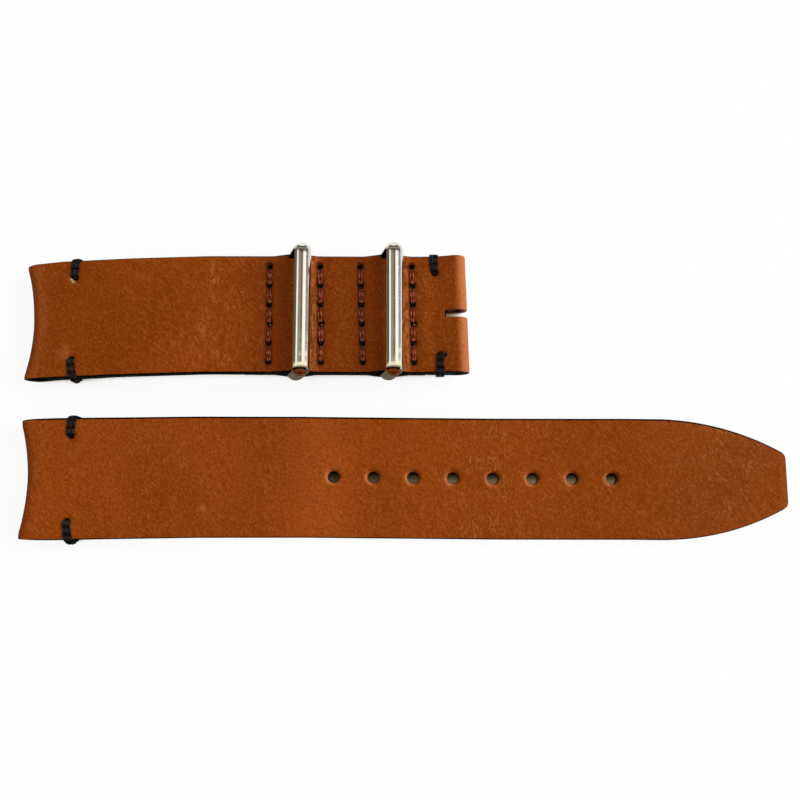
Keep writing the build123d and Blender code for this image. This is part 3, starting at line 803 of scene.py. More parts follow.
class Sheet:
    """A leather layer as a closed mesh: both faces, rounded rims and the walls of its holes.
    Points are laid out flat, in length along the section and width, then carried to the
    section. The rims are rings from the outer face to the inner one."""

    def __init__(self, section, body, rounds=(0.35, 0.2), step=0.34, relief=None, marks=None,
                 shifts=(), folds=()):
        self.section, self.rounds, self.step = section, rounds, step
        self.at, self.bend = HALVES[body]
        self.relief, self.marks, self.shifts, self.folds = relief, marks, shifts, folds

    def carried(self, flat, share):
        """Points in mm at a share of the way from the outer face to the inner one."""
        outer, inner = self.section.at(flat[:, 0])
        v = flat[:, 1]
        for shift in self.shifts:
            outer = outer + np.column_stack((shift(outer[:, 0], v), np.zeros(len(v))))
        across = inner - outer
        lift = self.relief(flat[:, 0], outer[:, 0], v) if self.relief else np.zeros(len(v))
        side = outer + across * share[:, None] - unit(across) * (lift * (1 - share))[:, None]
        return np.column_stack((side[:, 0], v + self.bend(side[:, 0]), side[:, 1])) + self.at

    def rim(self, loop):
        """Rings round one outline, from the outer face over its round, the wall and the inner
        round: flat points, shares of the way to the inner face, and distance run."""
        outer, inner = self.section.at(loop[:, 0])
        thick = np.linalg.norm(outer - inner, axis=1)
        # At the folded ends the rim stays sharper
        sharp = np.ones(len(loop))
        for fold in self.folds:
            sharp = np.minimum(sharp, 0.4 + np.abs(outer[:, 0] - fold) / 5)
        r_out = np.minimum(self.rounds[0] * sharp, 0.45 * thick)
        r_in = np.minimum(self.rounds[1], 0.45 * thick)
        angles = np.radians(np.linspace(90, 0, 5))
        profile = [(r_out * (1 - math.cos(a)), r_out * (1 - math.sin(a))) for a in angles]
        profile.append((0 * thick, thick / 2))
        profile += [(r_in * (1 - math.cos(a)), thick - r_in * (1 - math.sin(a))) for a in angles[::-1]]
        normal, run, before, rings = inward(loop), np.zeros(len(loop)), profile[0], []
        for inset, depth in profile:
            run = run + np.hypot(inset - before[0], depth - before[1])
            rings.append((loop + normal * inset[:, None], depth / np.maximum(thick, 1e-6), run))
            before = (inset, depth)
        return rings

    def filling(self, outline, loops):
        """Points in slightly uneven rows inside the sheet, clear of its rims."""
        low, high = outline.min(axis=0), outline.max(axis=0)
        rows = []
        row_step = self.step * math.sqrt(3) / 2
        for number, v in enumerate(np.arange(low[1] + self.step, high[1], row_step)):
            u = np.arange(low[0] + self.step * (0.5 + 0.5 * (number % 2)), high[0], self.step)
            rows.append(np.column_stack((u, np.full(len(u), v))))
        fill = np.vstack(rows)
        fill += np.random.default_rng(7).uniform(-0.08, 0.08, fill.shape) * self.step
        fill = fill[within(fill, loops)]
        border = np.vstack(loops)
        tree = KDTree(len(border))
        for i, (u, v) in enumerate(border):
            tree.insert((u, v, 0), i)
        tree.balance()
        gap = np.array([tree.find((u, v, 0))[2] for u, v in fill])
        return fill[gap > 0.55 * self.step]

    def build(self, name, outline, holes, material):
        """The sheet as one piece, with its distances over painted edges and cut walls."""
        rims = [self.rim(loop) for loop in [outline] + holes]
        first = [rim[0][0] for rim in rims]
        fill = self.filling(outline, first)
        flat = np.vstack(first + [fill])
        last = np.vstack([rim[-1][0] for rim in rims] + [fill])
        triangles = triangulated(flat, first)
        total = len(flat)
        # Each block's flat points, shares of the way to the inner face, and distances run
        # over a painted edge and down a cut wall. Paint covers the inner face
        none = np.zeros(total)
        blocks = [(flat, none, none, none), (last, none + 1, none + PAINTED, none)]
        faces = triangles.tolist() + (triangles[:, ::-1] + total).tolist()
        base, start = 2 * total, 0
        for number, rim in enumerate(rims):
            count = len(rim[0][0])
            for ring, share, run in rim[1:-1]:
                blocks.append((ring, share, 0 * run, run) if number else (ring, share, run, 0 * run))
            own = np.arange(start, start + count)
            between = base + np.arange(count * (len(rim) - 2)).reshape(-1, count)
            index = [own, *between, own + total]
            for upper, lower in zip(index, index[1:]):
                faces += np.column_stack((upper, lower, np.roll(lower, -1), np.roll(upper, -1))).tolist()
            base += between.size
            start += count
        flats, shares, paint, cut = [np.concatenate(part) for part in zip(*blocks)]
        values = {"paint": paint, "cut": cut}
        if self.marks:
            values.update(self.marks(self.section.at(flats[:, 0])[0][:, 0], flats[:, 1]))
        return mesh_object(name, self.carried(flats, shares), faces, material, values)


class Strands:
    """Thread strands gathered into one mesh: tubes along paths, with flat ends."""

    def __init__(self):
        self.points, self.faces, self.map, self.depth = [], [], [], []
        self.count = 0

    def tube(self, path, radius, sides=8, closed=False, depth=0.0):
        """Add a tube along a path in mm. Radius and depth are one number or one for each point; depth
        darkens the thread as painted shade down a hole.
        """
        path = np.asarray(path, float)
        number = len(path)
        radius = np.broadcast_to(radius, (number,)).astype(float)
        self.depth.append(np.repeat(np.broadcast_to(depth, (number,)), sides))
        if closed:
            ahead = unit(np.roll(path, -1, axis=0) - np.roll(path, 1, axis=0))
        else:
            ahead = unit(np.gradient(path, axis=0))
        side = np.cross(ahead[0], (0.31, 0.2, 0.93))
        side /= np.linalg.norm(side)
        angles = np.linspace(0, math.tau, sides, endpoint=False)
        length = lengths_along(path)
        rings = []
        for i in range(number):
            side = side - ahead[i] * (side @ ahead[i])
            side /= np.linalg.norm(side)
            other = np.cross(ahead[i], side)
            ring = path[i] + radius[i] * (np.cos(angles)[:, None] * side + np.sin(angles)[:, None] * other)
            rings.append(self.count + np.arange(sides))
            self.points.append(ring)
            self.map.append(np.column_stack((np.full(sides, length[i]), angles / math.tau)))
            self.count += sides
        pairs = list(zip(rings, rings[1:]))
        if closed:
            pairs.append((rings[-1], rings[0]))
        for lower, upper in pairs:
            self.faces += np.column_stack(
                (lower, np.roll(lower, -1), np.roll(upper, -1), upper)).tolist()
        if not closed:
            self.faces += [rings[0][::-1].tolist(), rings[-1].tolist()]

    def build(self, name, material, at):
        """The gathered strands as one piece."""
        piece = mesh_object(name, np.vstack(self.points) + at, self.faces, material,
                            {"depth": np.concatenate(self.depth)})
        layer = piece.data.uv_layers.new(name="strand")
        corners = np.array([loop.vertex_index for loop in piece.data.loops])
        layer.data.foreach_set("uv", np.vstack(self.map)[corners].astype(np.float32).ravel())
        return piece


def smooth_path(corners, step, closed=False):
    """A Catmull-Rom curve through given corners."""
    corners = np.asarray(corners, float)
    if closed:
        padded = np.vstack((corners[-1:], corners, corners[:2]))
    else:
        padded = np.vstack((2 * corners[0] - corners[1], corners, 2 * corners[-1] - corners[-2]))
    path = []
    for p0, p1, p2, p3 in zip(padded, padded[1:], padded[2:], padded[3:]):
        count = max(int(np.linalg.norm(p2 - p1) / step), 2)
        t = np.linspace(0, 1, count, endpoint=False)[:, None]
        path.append(0.5 * (2 * p1 + (p2 - p0) * t + (2 * p0 - 5 * p1 + 4 * p2 - p3) * t ** 2
                           + (3 * p1 - p0 - 3 * p2 + p3) * t ** 3))
    if not closed:
        path.append(corners[-1:])
    return np.vstack(path)


def twisted(path, offset, flat, turns, phase):
    """A path that winds round another, from its side, flattened by a share upwards."""
    ahead = unit(np.gradient(path, axis=0))
    side = unit((1.0, 0, 0) - ahead * ahead[:, :1])
    up = np.cross(ahead, side)
    angle = phase + math.tau * turns * np.linspace(0, 1, len(path))
    offset = np.broadcast_to(offset, (len(path),))[:, None]
    return path + offset * (np.cos(angle)[:, None] * side + flat * np.sin(angle)[:, None] * up)


# The faces of both leathers: how high they stand, what use has left on them, and their painted light and
# shade

THREAD_VALLEY = 0.16
STUB_ASIDE = 0.2


def row_place(number, y):
    """Where a seam's row is at y, counted from 0: each row turns a little."""
    return SEAM_PLACES[number] - math.tan(math.radians(SEAM_TURNS[number])) * y


def gather(x, place, spread):
    """A soft band round a place."""
    return np.exp(-((x - place) / spread) ** 2)


def spot(x, y, place, across, spread):
    """A soft round spot."""
    return np.exp(-((x - place) ** 2 + (y - across) ** 2) / spread ** 2)


def tack_relief(x, y, tacks):
    """Where the tacks draw the leather in: at their holes, and from there to the edge."""
    lift = np.zeros(len(x))
    for place, side in tacks:
        lift -= 0.22 * spot(x, y, place, side * TACK_ACROSS, 0.7)
        lift -= 0.12 * gather(x, place, 0.7) * (y * side > TACK_ACROSS)
    return lift


def lie(x, y, seed, edge):
    """The slow unevenness of leather that lies on a table, and its rolled-down rim."""
    wave = [noise.noise(Vector((a / 9, b / 6, seed))) + 0.35 * noise.noise(Vector((a / 2.2, b / 2.6, seed)))
            for a, b in zip(x, y)]
    return 0.06 * np.array(wave) - 0.16 * eased(edge, 1.3, 0) ** 2


def short_relief(u, x, y):
    """Height of the sewn-in valleys and dimples of the short half's outer face."""
    lift = tack_relief(x, y, LUG_TACKS + BUCKLE_TACKS)
    inside_row = np.clip((9.0 - np.abs(y)) / 1.2, 0, 1)
    for number in range(4):
        row = row_place(number, y)
        lift -= THREAD_VALLEY * gather(x, row, 0.65) * inside_row
        lift += 0.05 * gather(x, row - 1.7, 0.9) * inside_row
        for across in NEEDLE_PLACES:
            lift -= 0.12 * spot(x, y, row_place(number, across), across, 0.5)
    # The fold keeps its full width to the corner
    edge = HALF_WIDTH - np.abs(y) + 1.3 * eased(x, SHORT_LENGTH - 3, SHORT_LENGTH - 1)
    return lift + lie(x, y, 3.1, edge)


def short_marks(x, y):
    """Where the short half's face is rubbed pale with painted sheen, creased, darkened with painted shade or
    torn, how much lighter or darker it is made, partly as painted light and shade, and how far the edge
    paint creeps in."""
    # Painted highlights: faint on the lug end's bend, strong on the buckle fold's rim
    wear = 0.14 * gather(x, 1.6, 1.6) + 0.95 * eased(x, SHORT_LENGTH - 2.3, SHORT_LENGTH - 0.6)
    crease = 0.06 + 0.6 * gather(x, 32.5, 4.5) + 0.35 * gather(x, 67.0, 1.6)
    tone = 1 + 0.12 * gather(x, 29, 6) - 0.12 * eased(x, 67.5, 69.5)
    creep = np.zeros(len(x))
    for place in KEEPER_PLACES:
        # Behind each ring the leather is creased, with painted sheen on its slope there. Painted shade
        # darkens the leather by the seams, and painted light brightens the foot of each hump's lug-side
        # flank
        behind = eased(x, place + 1.6, place + 2.4) * eased(x, place + SEAM_OFFSET, place + 3.2)
        wear += 0.2 * behind
        crease += 0.9 * behind
        tone -= 0.13 * gather(x, place - SEAM_OFFSET, 1.3)
        tone -= 0.16 * gather(x, place + SEAM_OFFSET + 1.2, 1.3)
        tone += 0.34 * gather(x, place - 3.3, 0.9)
        # Beside each ring the back edge is black a little way in
        creep += 0.6 * gather(x, place - 0.2, 0.8) * eased(plan_half_width(x) - y, 1.1, 0.7)
    # Painted shade round the needle and tack holes and in the grooves beside the rows
    dark = np.zeros(len(x))
    for number in range(4):
        for across in NEEDLE_PLACES:
            aside = STUB_ASIDE if number != 2 and across == NEEDLE_PLACES[2] else -0.1
            middle = row_place(number, across) + aside
            dark += 1.3 * np.exp(-(np.hypot(x - middle, (y - across) * 0.8) / 0.52) ** 4)
        row = row_place(number, y)
        groove = gather(x, row - 0.42, 0.2) + 0.5 * gather(x, row + 0.42, 0.17)
        dark += 0.28 * groove * (np.abs(y) < NEEDLE_PLACES[-1])
    for place, side in LUG_TACKS + BUCKLE_TACKS:
        dark += 0.5 * spot(x, y, place, side * TACK_ACROSS, 0.6)
    # An awl tore the back lug tack's hole, and the front one's thread rubbed the wax off
    place = LUG_TACKS[0][0]
    torn = spot(x, y, place - 0.45, TACK_ACROSS - 0.1, 0.24)
    torn += spot(x, y, place - 0.15, TACK_ACROSS - 0.6, 0.2)
    rubbed = spot(x, y, place - 1.0, 0.8 - TACK_ACROSS, 1.0)
    return {"wear": wear + 0.3 * rubbed, "crease": np.minimum(crease + 0.5 * rubbed, 1),
            "dark": np.minimum(dark, 1), "tone": tone, "torn": np.minimum(torn * 1.2, 1),
            "creep": creep}


def long_relief(u, x, y):
    """Height of the dished tongue holes and of the tacks' pull on the long half's leather."""
    lift = tack_relief(x, y, LUG_TACKS)
    for place in HOLE_PLACES:
        lift -= 0.14 * spot(x, y, place, 0, 1.35)
    edge = np.minimum(tail_half_width(x) - np.abs(y), LONG_LENGTH - x)
    return lift + np.where(u > FLAP_LENGTH, lie(x, y, 8.4, edge), 0)


def long_marks(x, y):
    """Where the long half's face is rubbed pale with painted sheen, creased or darkened with painted shade,
    how much lighter or darker it is made, and how far the edge paint creeps in."""
    # Painted sheen on the lug end's bend, and paler about 49 mm along and towards the tail
    wear = 0.03 * gather(x, 1.6, 2.0) + 0.08 * gather(x, 49, 5.0) + 0.05 * eased(x, 100, 110)
    wear += 0.5 * spot(x, y, 29.4, -5.2, 0.5)
    tone = 1.1 + 0.3 * gather(x, 50, 7) + 0.08 * gather(x, 71, 10) - 0.09 * eased(x, 85, 105)
    # Painted shade round the tack holes
    dark = 0.5 * sum(spot(x, y, place, side * TACK_ACROSS, 0.6) for place, side in LUG_TACKS)
    for place in HOLE_PLACES:
        # Painted light and shade on each dished hole's rim: a highlight on the front left, shade on the back
        # right
        rim = gather(np.hypot(x - place, y), HOLE_RADIUS + 0.2, 0.28)
        along, over = (x - place) / HOLE_RADIUS, y / HOLE_RADIUS
        wear += rim * np.clip(-0.8 * along - 0.45 * over, 0, 1)
        dark += 0.5 * rim * np.clip(0.6 * along + 0.4 * over, 0, 1)
    crease = 0.12 + 0.5 * gather(x, 77, 7.5) + 0.35 * gather(x, 117, 7.0) + 0.15 * gather(x, 26, 6.0)
    return {"wear": np.minimum(wear, 1), "crease": crease, "dark": dark, "tone": tone,
            "creep": 0.15 * eased(tail_half_width(x) - y, 0.6, 0.35)}


# The strap's pieces

# Distances between points on the outlines of the leathers and of the layers under them
LEATHER_STEP = 0.32
LAYER_STEP = 0.45
TAIL_CORNER = 0.8
# Radii of one strand of a seam, one ply of a tack and a knot's thread
SEAM_STRAND = 0.125
TACK_PLY = 0.105
KNOT_THREAD = 0.12


def short_leather(section, material):
    """The short half's outer leather."""
    outline = layer_outline(section, plan_half_width, 0.6, LEATHER_STEP)
    holes = tack_holes(section, LUG_TACKS + BUCKLE_TACKS) + needle_holes(section)
    holes.append(square_hole(section.top(SLOT_START), section.under(SLOT_START),
                             -SLOT_WIDTH / 2, SLOT_WIDTH / 2, 0.3))
    sheet = Sheet(section, "short_half", relief=short_relief, marks=short_marks,
                  shifts=(hollow_shift, fold_shift), folds=(0, SHORT_LENGTH))
    piece = sheet.build("short_half_leather", outline, holes, material)
    dress(piece, "short_half", "tan_calf", "short_top_leather")


def long_leather(section, material):
    """The long half's outer leather."""
    outline = layer_outline(section, tail_half_width, TAIL_CORNER, LEATHER_STEP)
    sheet = Sheet(section, "long_half", relief=long_relief, marks=long_marks,
                  shifts=(hollow_shift, tail_shift), folds=(0,))
    piece = sheet.build("long_half_leather", outline, tack_holes(section, LUG_TACKS) + tongue_holes(section),
                        material)
    dress(piece, "long_half", "tan_calf", "long_top_leather")


def flat_layers(layers, half_width, body, tacks, materials):
    """The layers inside and under a half. Those that show have a rounder lower rim."""
    for name, (start, end, top, low) in layers.items():
        section = Section([(along_heights(start, end, top), along_heights(start, end, low))])
        corner = TAIL_CORNER if name == "long_lining" else 0
        outline = layer_outline(section, half_width, corner, LAYER_STEP)
        held = [(place, side) for place, side in tacks if start < place < end - 0.6]
        holes = tack_holes(section, held, under=False)
        if name in ("short_lining", "keeper_backing"):
            holes += needle_holes(section)
        if name == "long_lining":
            holes += tongue_holes(section)
        slot, material = materials[name]
        rounds = (0.02, 0.25 if name in ("keeper_backing", "long_lining") else 0.05)
        piece = Sheet(section, body, rounds, step=0.7).build(name + "_layer", outline, holes, material)
        dress(piece, body, slot, name)


def seam(number, section, material):
    """One row of stitches: three strands for each, on both faces, down the needle holes."""
    rng = random.Random(40 + number)
    strands = Strands()
    top = section.height(section.top(SEAM_PLACES[number])) - THREAD_VALLEY + 0.02
    under = SHORT_UNDER - 0.06
    for start, end in zip(NEEDLE_PLACES, NEEDLE_PLACES[1:]):
        for face, way in ((top, 1), (under, -1)):
            lean = rng.uniform(-0.06, 0.06)
            crest = face + way * rng.uniform(0.15, 0.2)
            # In from each needle hole, and up out of it
            rise = ((0.24, face - way * 0.8), (0.3, face - way * 0.25), (0.75, crest))
            levels = [(start + step, level) for step, level in rise]
            levels += [(end - step, level) for step, level in rise[::-1]]
            middle = smooth_path([(row_place(number, across) + lean, across, level)
                                  for across, level in levels], 0.1)
            # The strands lie side by side, spread in the middle, and dive into the holes, where painted
            # shade darkens them
            end_gap = np.minimum(middle[:, 1] - start, end - middle[:, 1])
            spread = 0.16 + 0.13 * eased(end_gap, 0.3, 1.0)
            depth = eased(end_gap, 0.66, 0.45)
            turns, phase = rng.uniform(0.1, 0.45) * rng.choice((-1, 1)), rng.uniform(-0.5, 0.5)
            for strand in range(3):
                path = twisted(middle, spread, 0.3, turns, phase + strand * math.tau / 3)
                strands.tube(path, SEAM_STRAND, depth=depth)
    # Down each end hole a thick thread is painted dark all through: painted shade filling the hole
    for across in (NEEDLE_PLACES[0], NEEDLE_PLACES[-1]):
        place = row_place(number, across)
        levels = (top - 0.6, (top + under) / 2, under + 0.6)
        strands.tube([(place, across, level) for level in levels], 0.36, depth=1.0)
    if number != 2:
        # The thread's end stands as a stub in the fourth hole from the back
        across = NEEDLE_PLACES[2]
        place = row_place(number, across) + STUB_ASIDE
        stub = [(place, across, top - 0.7), (place, across, top - 0.1), (place, across - 0.05, top + 0.04)]
        strands.tube(stub, (0.2, 0.2, 0.13))
    piece = strands.build(f"seam_{number + 1}", material, SHORT_AT)
    dress(piece, "short_half", "brown_thread", f"seam_thread_{number + 1}")


def tack(name, body, section, place, side, lower, material, seed, slant, bulge, knot=False):
    """A tack: one thread wound round the edge several times, and tied off in two half hitches when knot is
    set. The slant is how far it leans along the strap, the bulge how far its middle turns stand off the
    edge."""
    rng = random.Random(seed)
    strands = Strands()
    at, bend = HALVES[body]
    aside = float(bend(place))
    upper = section.height(section.top(place)) - 0.1
    middle = (upper + lower) / 2
    hole = TACK_ACROSS
    rim = HALF_WIDTH + 0.12
    turns = 5
    for i in range(turns):
        share = (i - (turns - 1) / 2) / 2
        offset = share * 0.6 + slant
        gather_in = share * 0.46
        sway = rng.uniform(-0.14, 0.14)
        lift = rng.uniform(0.0, 0.14)
        stand = rim + bulge * (1 - share ** 2)
        # Along the half, across it and height: up out of the hole, over the outer face, down
        # the edge and back underneath
        corners = [
            (gather_in, hole, middle),
            (gather_in, hole + 0.03, upper - 0.25),
            (gather_in + sway / 2, hole + 0.4, upper + 0.1 + lift),
            ((offset + gather_in) / 2 + sway, hole + 1.5, upper + 0.12 + lift),
            (offset, rim - 0.3, upper + 0.08),
            (offset, stand + 0.05, upper - 0.4),
            (offset, stand + 0.07, middle),
            (offset, stand + 0.05, lower + 0.4),
            (offset, rim - 0.3, lower - 0.06),
            ((offset + gather_in) / 2, hole + 1.5, lower - 0.1),
            (gather_in, hole + 0.4, lower - 0.1),
            (gather_in, hole + 0.03, lower + 0.25),
        ]
        loop = smooth_path([(place + x, side * y + aside, z) for x, y, z in corners], 0.1, closed=True)
        # Each turn is a cord of two plies
        for ply in range(2):
            wound = twisted(loop, 0.075, 1.0, round(len(loop) * 0.1 / 1.1), math.pi * ply)
            strands.tube(wound, TACK_PLY, sides=7, closed=True)
    if knot:
        angles = np.linspace(0, math.tau, 18, endpoint=False)
        along, over = np.cos(angles), np.sin(angles)
        for x, y, z, reach in ((0.75, hole - 0.1, 0.28, 0.27), (0.1, hole - 0.15, 0.24, 0.22)):
            half_hitch = (place + x + reach * along, side * y + reach * over, upper + z + 0.1 * over)
            strands.tube(np.column_stack(half_hitch), KNOT_THREAD, closed=True)
    piece = strands.build(name + "_thread", material, at)
    dress(piece, body, "black_thread", name)


def half_round_wire():
    """The rings' wire: a crowned outer face, soft shoulders and a flat inner face. Points
    are places across the wire and outwards."""
    half_wide, crest, flat, shoulder, inner = 1.4, 0.5, 1.1, -0.3, -0.6
    radius = (half_wide ** 2 + (crest - shoulder) ** 2) / (2 * (crest - shoulder))
    reach = math.asin(half_wide / radius)
    crown = [(math.sin(a) * radius, crest - radius + math.cos(a) * radius)
             for a in np.linspace(-reach, reach, 25)]
    side = [(half_wide - 0.02, shoulder - 0.12), (flat + 0.17, inner + 0.05), (flat, inner),
            (flat / 2, inner)]
    return crown + side + [(0, inner)] + [(-x, z) for x, z in side[::-1]]


def keeper_ring(number, material):
    """A keeper ring: half-round wire bent into a closed loop. It stands 0.2 mm further back
    than its node, as in the photograph."""
    lean = math.radians(KEEPER_LEANS[number - 1])
    ahead = np.array((math.cos(lean), 0, -math.sin(lean)))
    up = np.array((math.sin(lean), 0, math.cos(lean)))
    across = np.array((0, 1.0, 0))
    pivot = SHORT_AT + (KEEPER_PLACES[number - 1], 0.2, PIVOT_HEIGHT)
    half_bar, rise, bend = 10.78, KEEPER_RISE + 0.24, 1.05
    # Stations round the ring: place across and up, and the way outwards
    stations = []
    for y, z, start in ((half_bar, 0, -90), (half_bar, rise, 0), (-half_bar, rise, 90), (-half_bar, 0, 180)):
        centre = (y - math.copysign(bend, y), z + bend if z == 0 else z - bend)
        for angle in np.radians(np.linspace(start, start + 90, 11)):
            out = (math.cos(angle), math.sin(angle))
            stations.append((centre[0] + bend * out[0], centre[1] + bend * out[1], *out))
    dense = dense_loop(np.array(stations), 0.8)
    wire = half_round_wire()
    points = []
    for y, z, out_y, out_z in dense:
        middle = pivot + across * y + up * z
        outward = across * out_y + up * out_z
        points += [middle + ahead * a + outward * b for a, b in wire]
    index = np.arange(len(points)).reshape(len(dense), len(wire))
    there = np.roll(index, -1, axis=0)
    faces = np.stack((index, there, np.roll(there, -1, axis=1), np.roll(index, -1, axis=1)), axis=2)
    piece = mesh_object(f"keeper_{number}_ring", points, faces.reshape(-1, 4).tolist(), material)
    dress(piece, f"keeper_{number}", "polished_steel", f"keeper_ring_{number}")


# Camera and light

# The camera's angles are in degrees. The window's place and size and the table's reach are
# in metres, and the table's drop under the strap is in mm
CAMERA_AT = (-0.27, -23.8, 152.4)
CAMERA_TILT = 8.54
CAMERA_ROLL = -0.076
CAMERA_LENS = 40.5
WINDOW_AT = (2.2, 0.4, 1.45)
WINDOW_SIZE = 1.5
WINDOW_POWER = 51.0
TABLE_REACH = 3.0
TABLE_DROP = 0.02

# The room over the strap, by half the degrees from straight up over to the right: a beige
# ceiling between a white panel and a window. What light sees of it, then what the rings mirror
ROOM = ((-90, "#6E6856"), (-24, "#8F8A7C"), (-16, "#D8D4CA"), (4, "#B5AA96"), (9, "#FFFFFF"),
        (90, "#FFFFFF"))
MIRRORED_ROOM = ((-90, "#5B5647"), (-27, "#5B5647"), (-25, "#FFFFFF"), (-19, "#FFFFFF"),
                 (-15, "#968D7C"), (-2, "#8B826F"), (2, "#736553"), (8.5, "#736553"),
                 (13, "#FFFFFF"), (90, "#FFFFFF"))
# What the rings' end bends mirror, from the front, -1, to the back, 1. The browns at the front are a painted
# reflection of the long half's leather
MIRRORED_ENDS = ((-1, "#220C05"), (-0.98, "#220C05"), (-0.95, "#622D11"), (-0.55, "#703614"),
                 (-0.5, "#060504"), (-0.15, "#060504"), (-0.1, "#8E856E"), (0.1, "#726A55"),
                 (0.36, "#22201D"), (0.42, "#22201D"), (0.46, "#837F77"), (0.76, "#837F77"),
                 (0.8, "#181715"), (0.9, "#181715"), (0.94, "#FFFFFF"), (1, "#FFFFFF"))
# The table as the rings mirror it, from the front left to the back right, in painted shade
MIRRORED_TABLE = ((0.0, "#17100B"), (0.12, "#17100B"), (0.2, "#6A6557"), (0.65, "#6A6557"),
                  (0.85, "#FFFFFF"), (1.0, "#FFFFFF"))


def camera():
    """The photograph's view: nearly straight down, from a little in front."""
    data = bpy.data.cameras.new("camera")
    data.lens = CAMERA_LENS
    data.sensor_width = 36.0
    data.clip_start, data.clip_end = 0.01, 10.0
    made = placed("camera", data)
    tilt = Matrix.Rotation(math.radians(CAMERA_TILT), 4, "X")
    roll = Matrix.Rotation(math.radians(CAMERA_ROLL), 4, "Z")
    made.matrix_world = Matrix.Translation(Vector(CAMERA_AT) * MM) @ tilt @ roll
    bpy.context.scene.camera = made


def window():
    """The window's soft light, from the right. The surroundings draw what metal mirrors of
    it, so the lamp itself is hidden from glossy rays."""
    data = bpy.data.lights.new("window", "AREA")
    data.shape = "RECTANGLE"
    data.size = data.size_y = WINDOW_SIZE
    data.energy = WINDOW_POWER
    data.color = colour("#FFFFFF")[:3]
    made = placed("window", data)
    made.location = WINDOW_AT
    made.rotation_euler = (-Vector(WINDOW_AT)).to_track_quat("-Z", "Y").to_euler()
    made.visible_glossy = False


def mirrored_room(tree, way, right, around):
    """What the polished rings show in detail, as parts of the window's strength: bands of wall, panel,
    ceiling and window, ragged clutter in front of the window, a warm reflector at its front end, and the
    room's front and back ends, with a painted reflection of the long half's leather at the front."""
    length = add(tree, "SeparateXYZ", {0: way}).outputs["Y"]
    banded = add(tree, "ValToRGB", {0: around},
                 stops=[((degrees + 90) / 180, code) for degrees, code in MIRRORED_ROOM])
    clutter = add(tree, "TexNoise", {"Vector": way, "Scale": 60.0, "Detail": 3.0})
    things = add(tree, "MapRange", {0: clutter, 1: 0.42, 2: 0.52, 3: 0.25})
    sway = add(tree, "MapRange", {0: clutter, 1: 0.3, 2: 0.7, 3: -0.05, 4: 0.05})
    ragged = add(tree, "Math", {0: right, 1: sway}, operation="ADD")
    sill = add(tree, "MapRange", {0: ragged, 1: math.radians(28), 2: math.radians(30)})
    in_front = add(tree, "Math", {0: sill, 1: things}, operation="MULTIPLY")
    steep = add(tree, "Math", {0: length, 1: -27.0, 2: right}, operation="MULTIPLY_ADD")
    reflector = add(tree, "MapRange", {0: steep, 1: -4.8, 2: -4.7})
    front = add(tree, "MapRange", {0: length, 1: 0.13, 2: 0.08})
    back = add(tree, "MapRange", {0: length, 1: 0.34, 2: 0.37})
    at_ends = add(tree, "Math", {0: front, 1: back}, operation="ADD")
    ends = add(tree, "ValToRGB", {0: add(tree, "MapRange", {0: length, 1: -1.0})},
               stops=[((share + 1) / 2, code) for share, code in MIRRORED_ENDS])
    look = banded
    for share, shown in ((in_front, "#26262B"), (reflector, "#FFF6DC"), (at_ends, ends)):
        look = add(tree, "Mix", {0: share, 6: look, 7: shown}, data_type="RGBA")
    return look


def surroundings():
    """The studio round the strap: even light from the room, and a stronger, clearer room
    for the keeper rings to mirror."""
    world = bpy.data.worlds.new("studio")
    bpy.context.scene.world = world
    world.use_nodes = True
    tree = world.node_tree
    tree.nodes.clear()
    way = add(tree, "TexCoord").outputs["Generated"]
    split = add(tree, "SeparateXYZ", {0: way})
    # Half angle from straight up over to the right
    height = add(tree, "Math", {0: split.outputs["Z"], 1: 0.97}, operation="ADD")
    right = add(tree, "Math", {0: split.outputs["X"], 1: height}, operation="ARCTAN2")
    around = add(tree, "MapRange", {0: right, 1: -math.pi / 2, 2: math.pi / 2})
    room = add(tree, "ValToRGB", {0: around},
               stops=[((degrees + 90) / 180, code) for degrees, code in ROOM])
    mirrored = mirrored_room(tree, way, right, around)
    glossy = add(tree, "LightPath").outputs["Is Glossy Ray"]
    seen = add(tree, "Mix", {0: glossy, 6: room, 7: mirrored}, data_type="RGBA")
    strength = add(tree, "MapRange", {0: glossy, 3: 1.0, 4: 1.5})
    shade = add(tree, "Background", {"Color": seen, "Strength": strength})
    add(tree, "OutputWorld", {"Surface": shade})


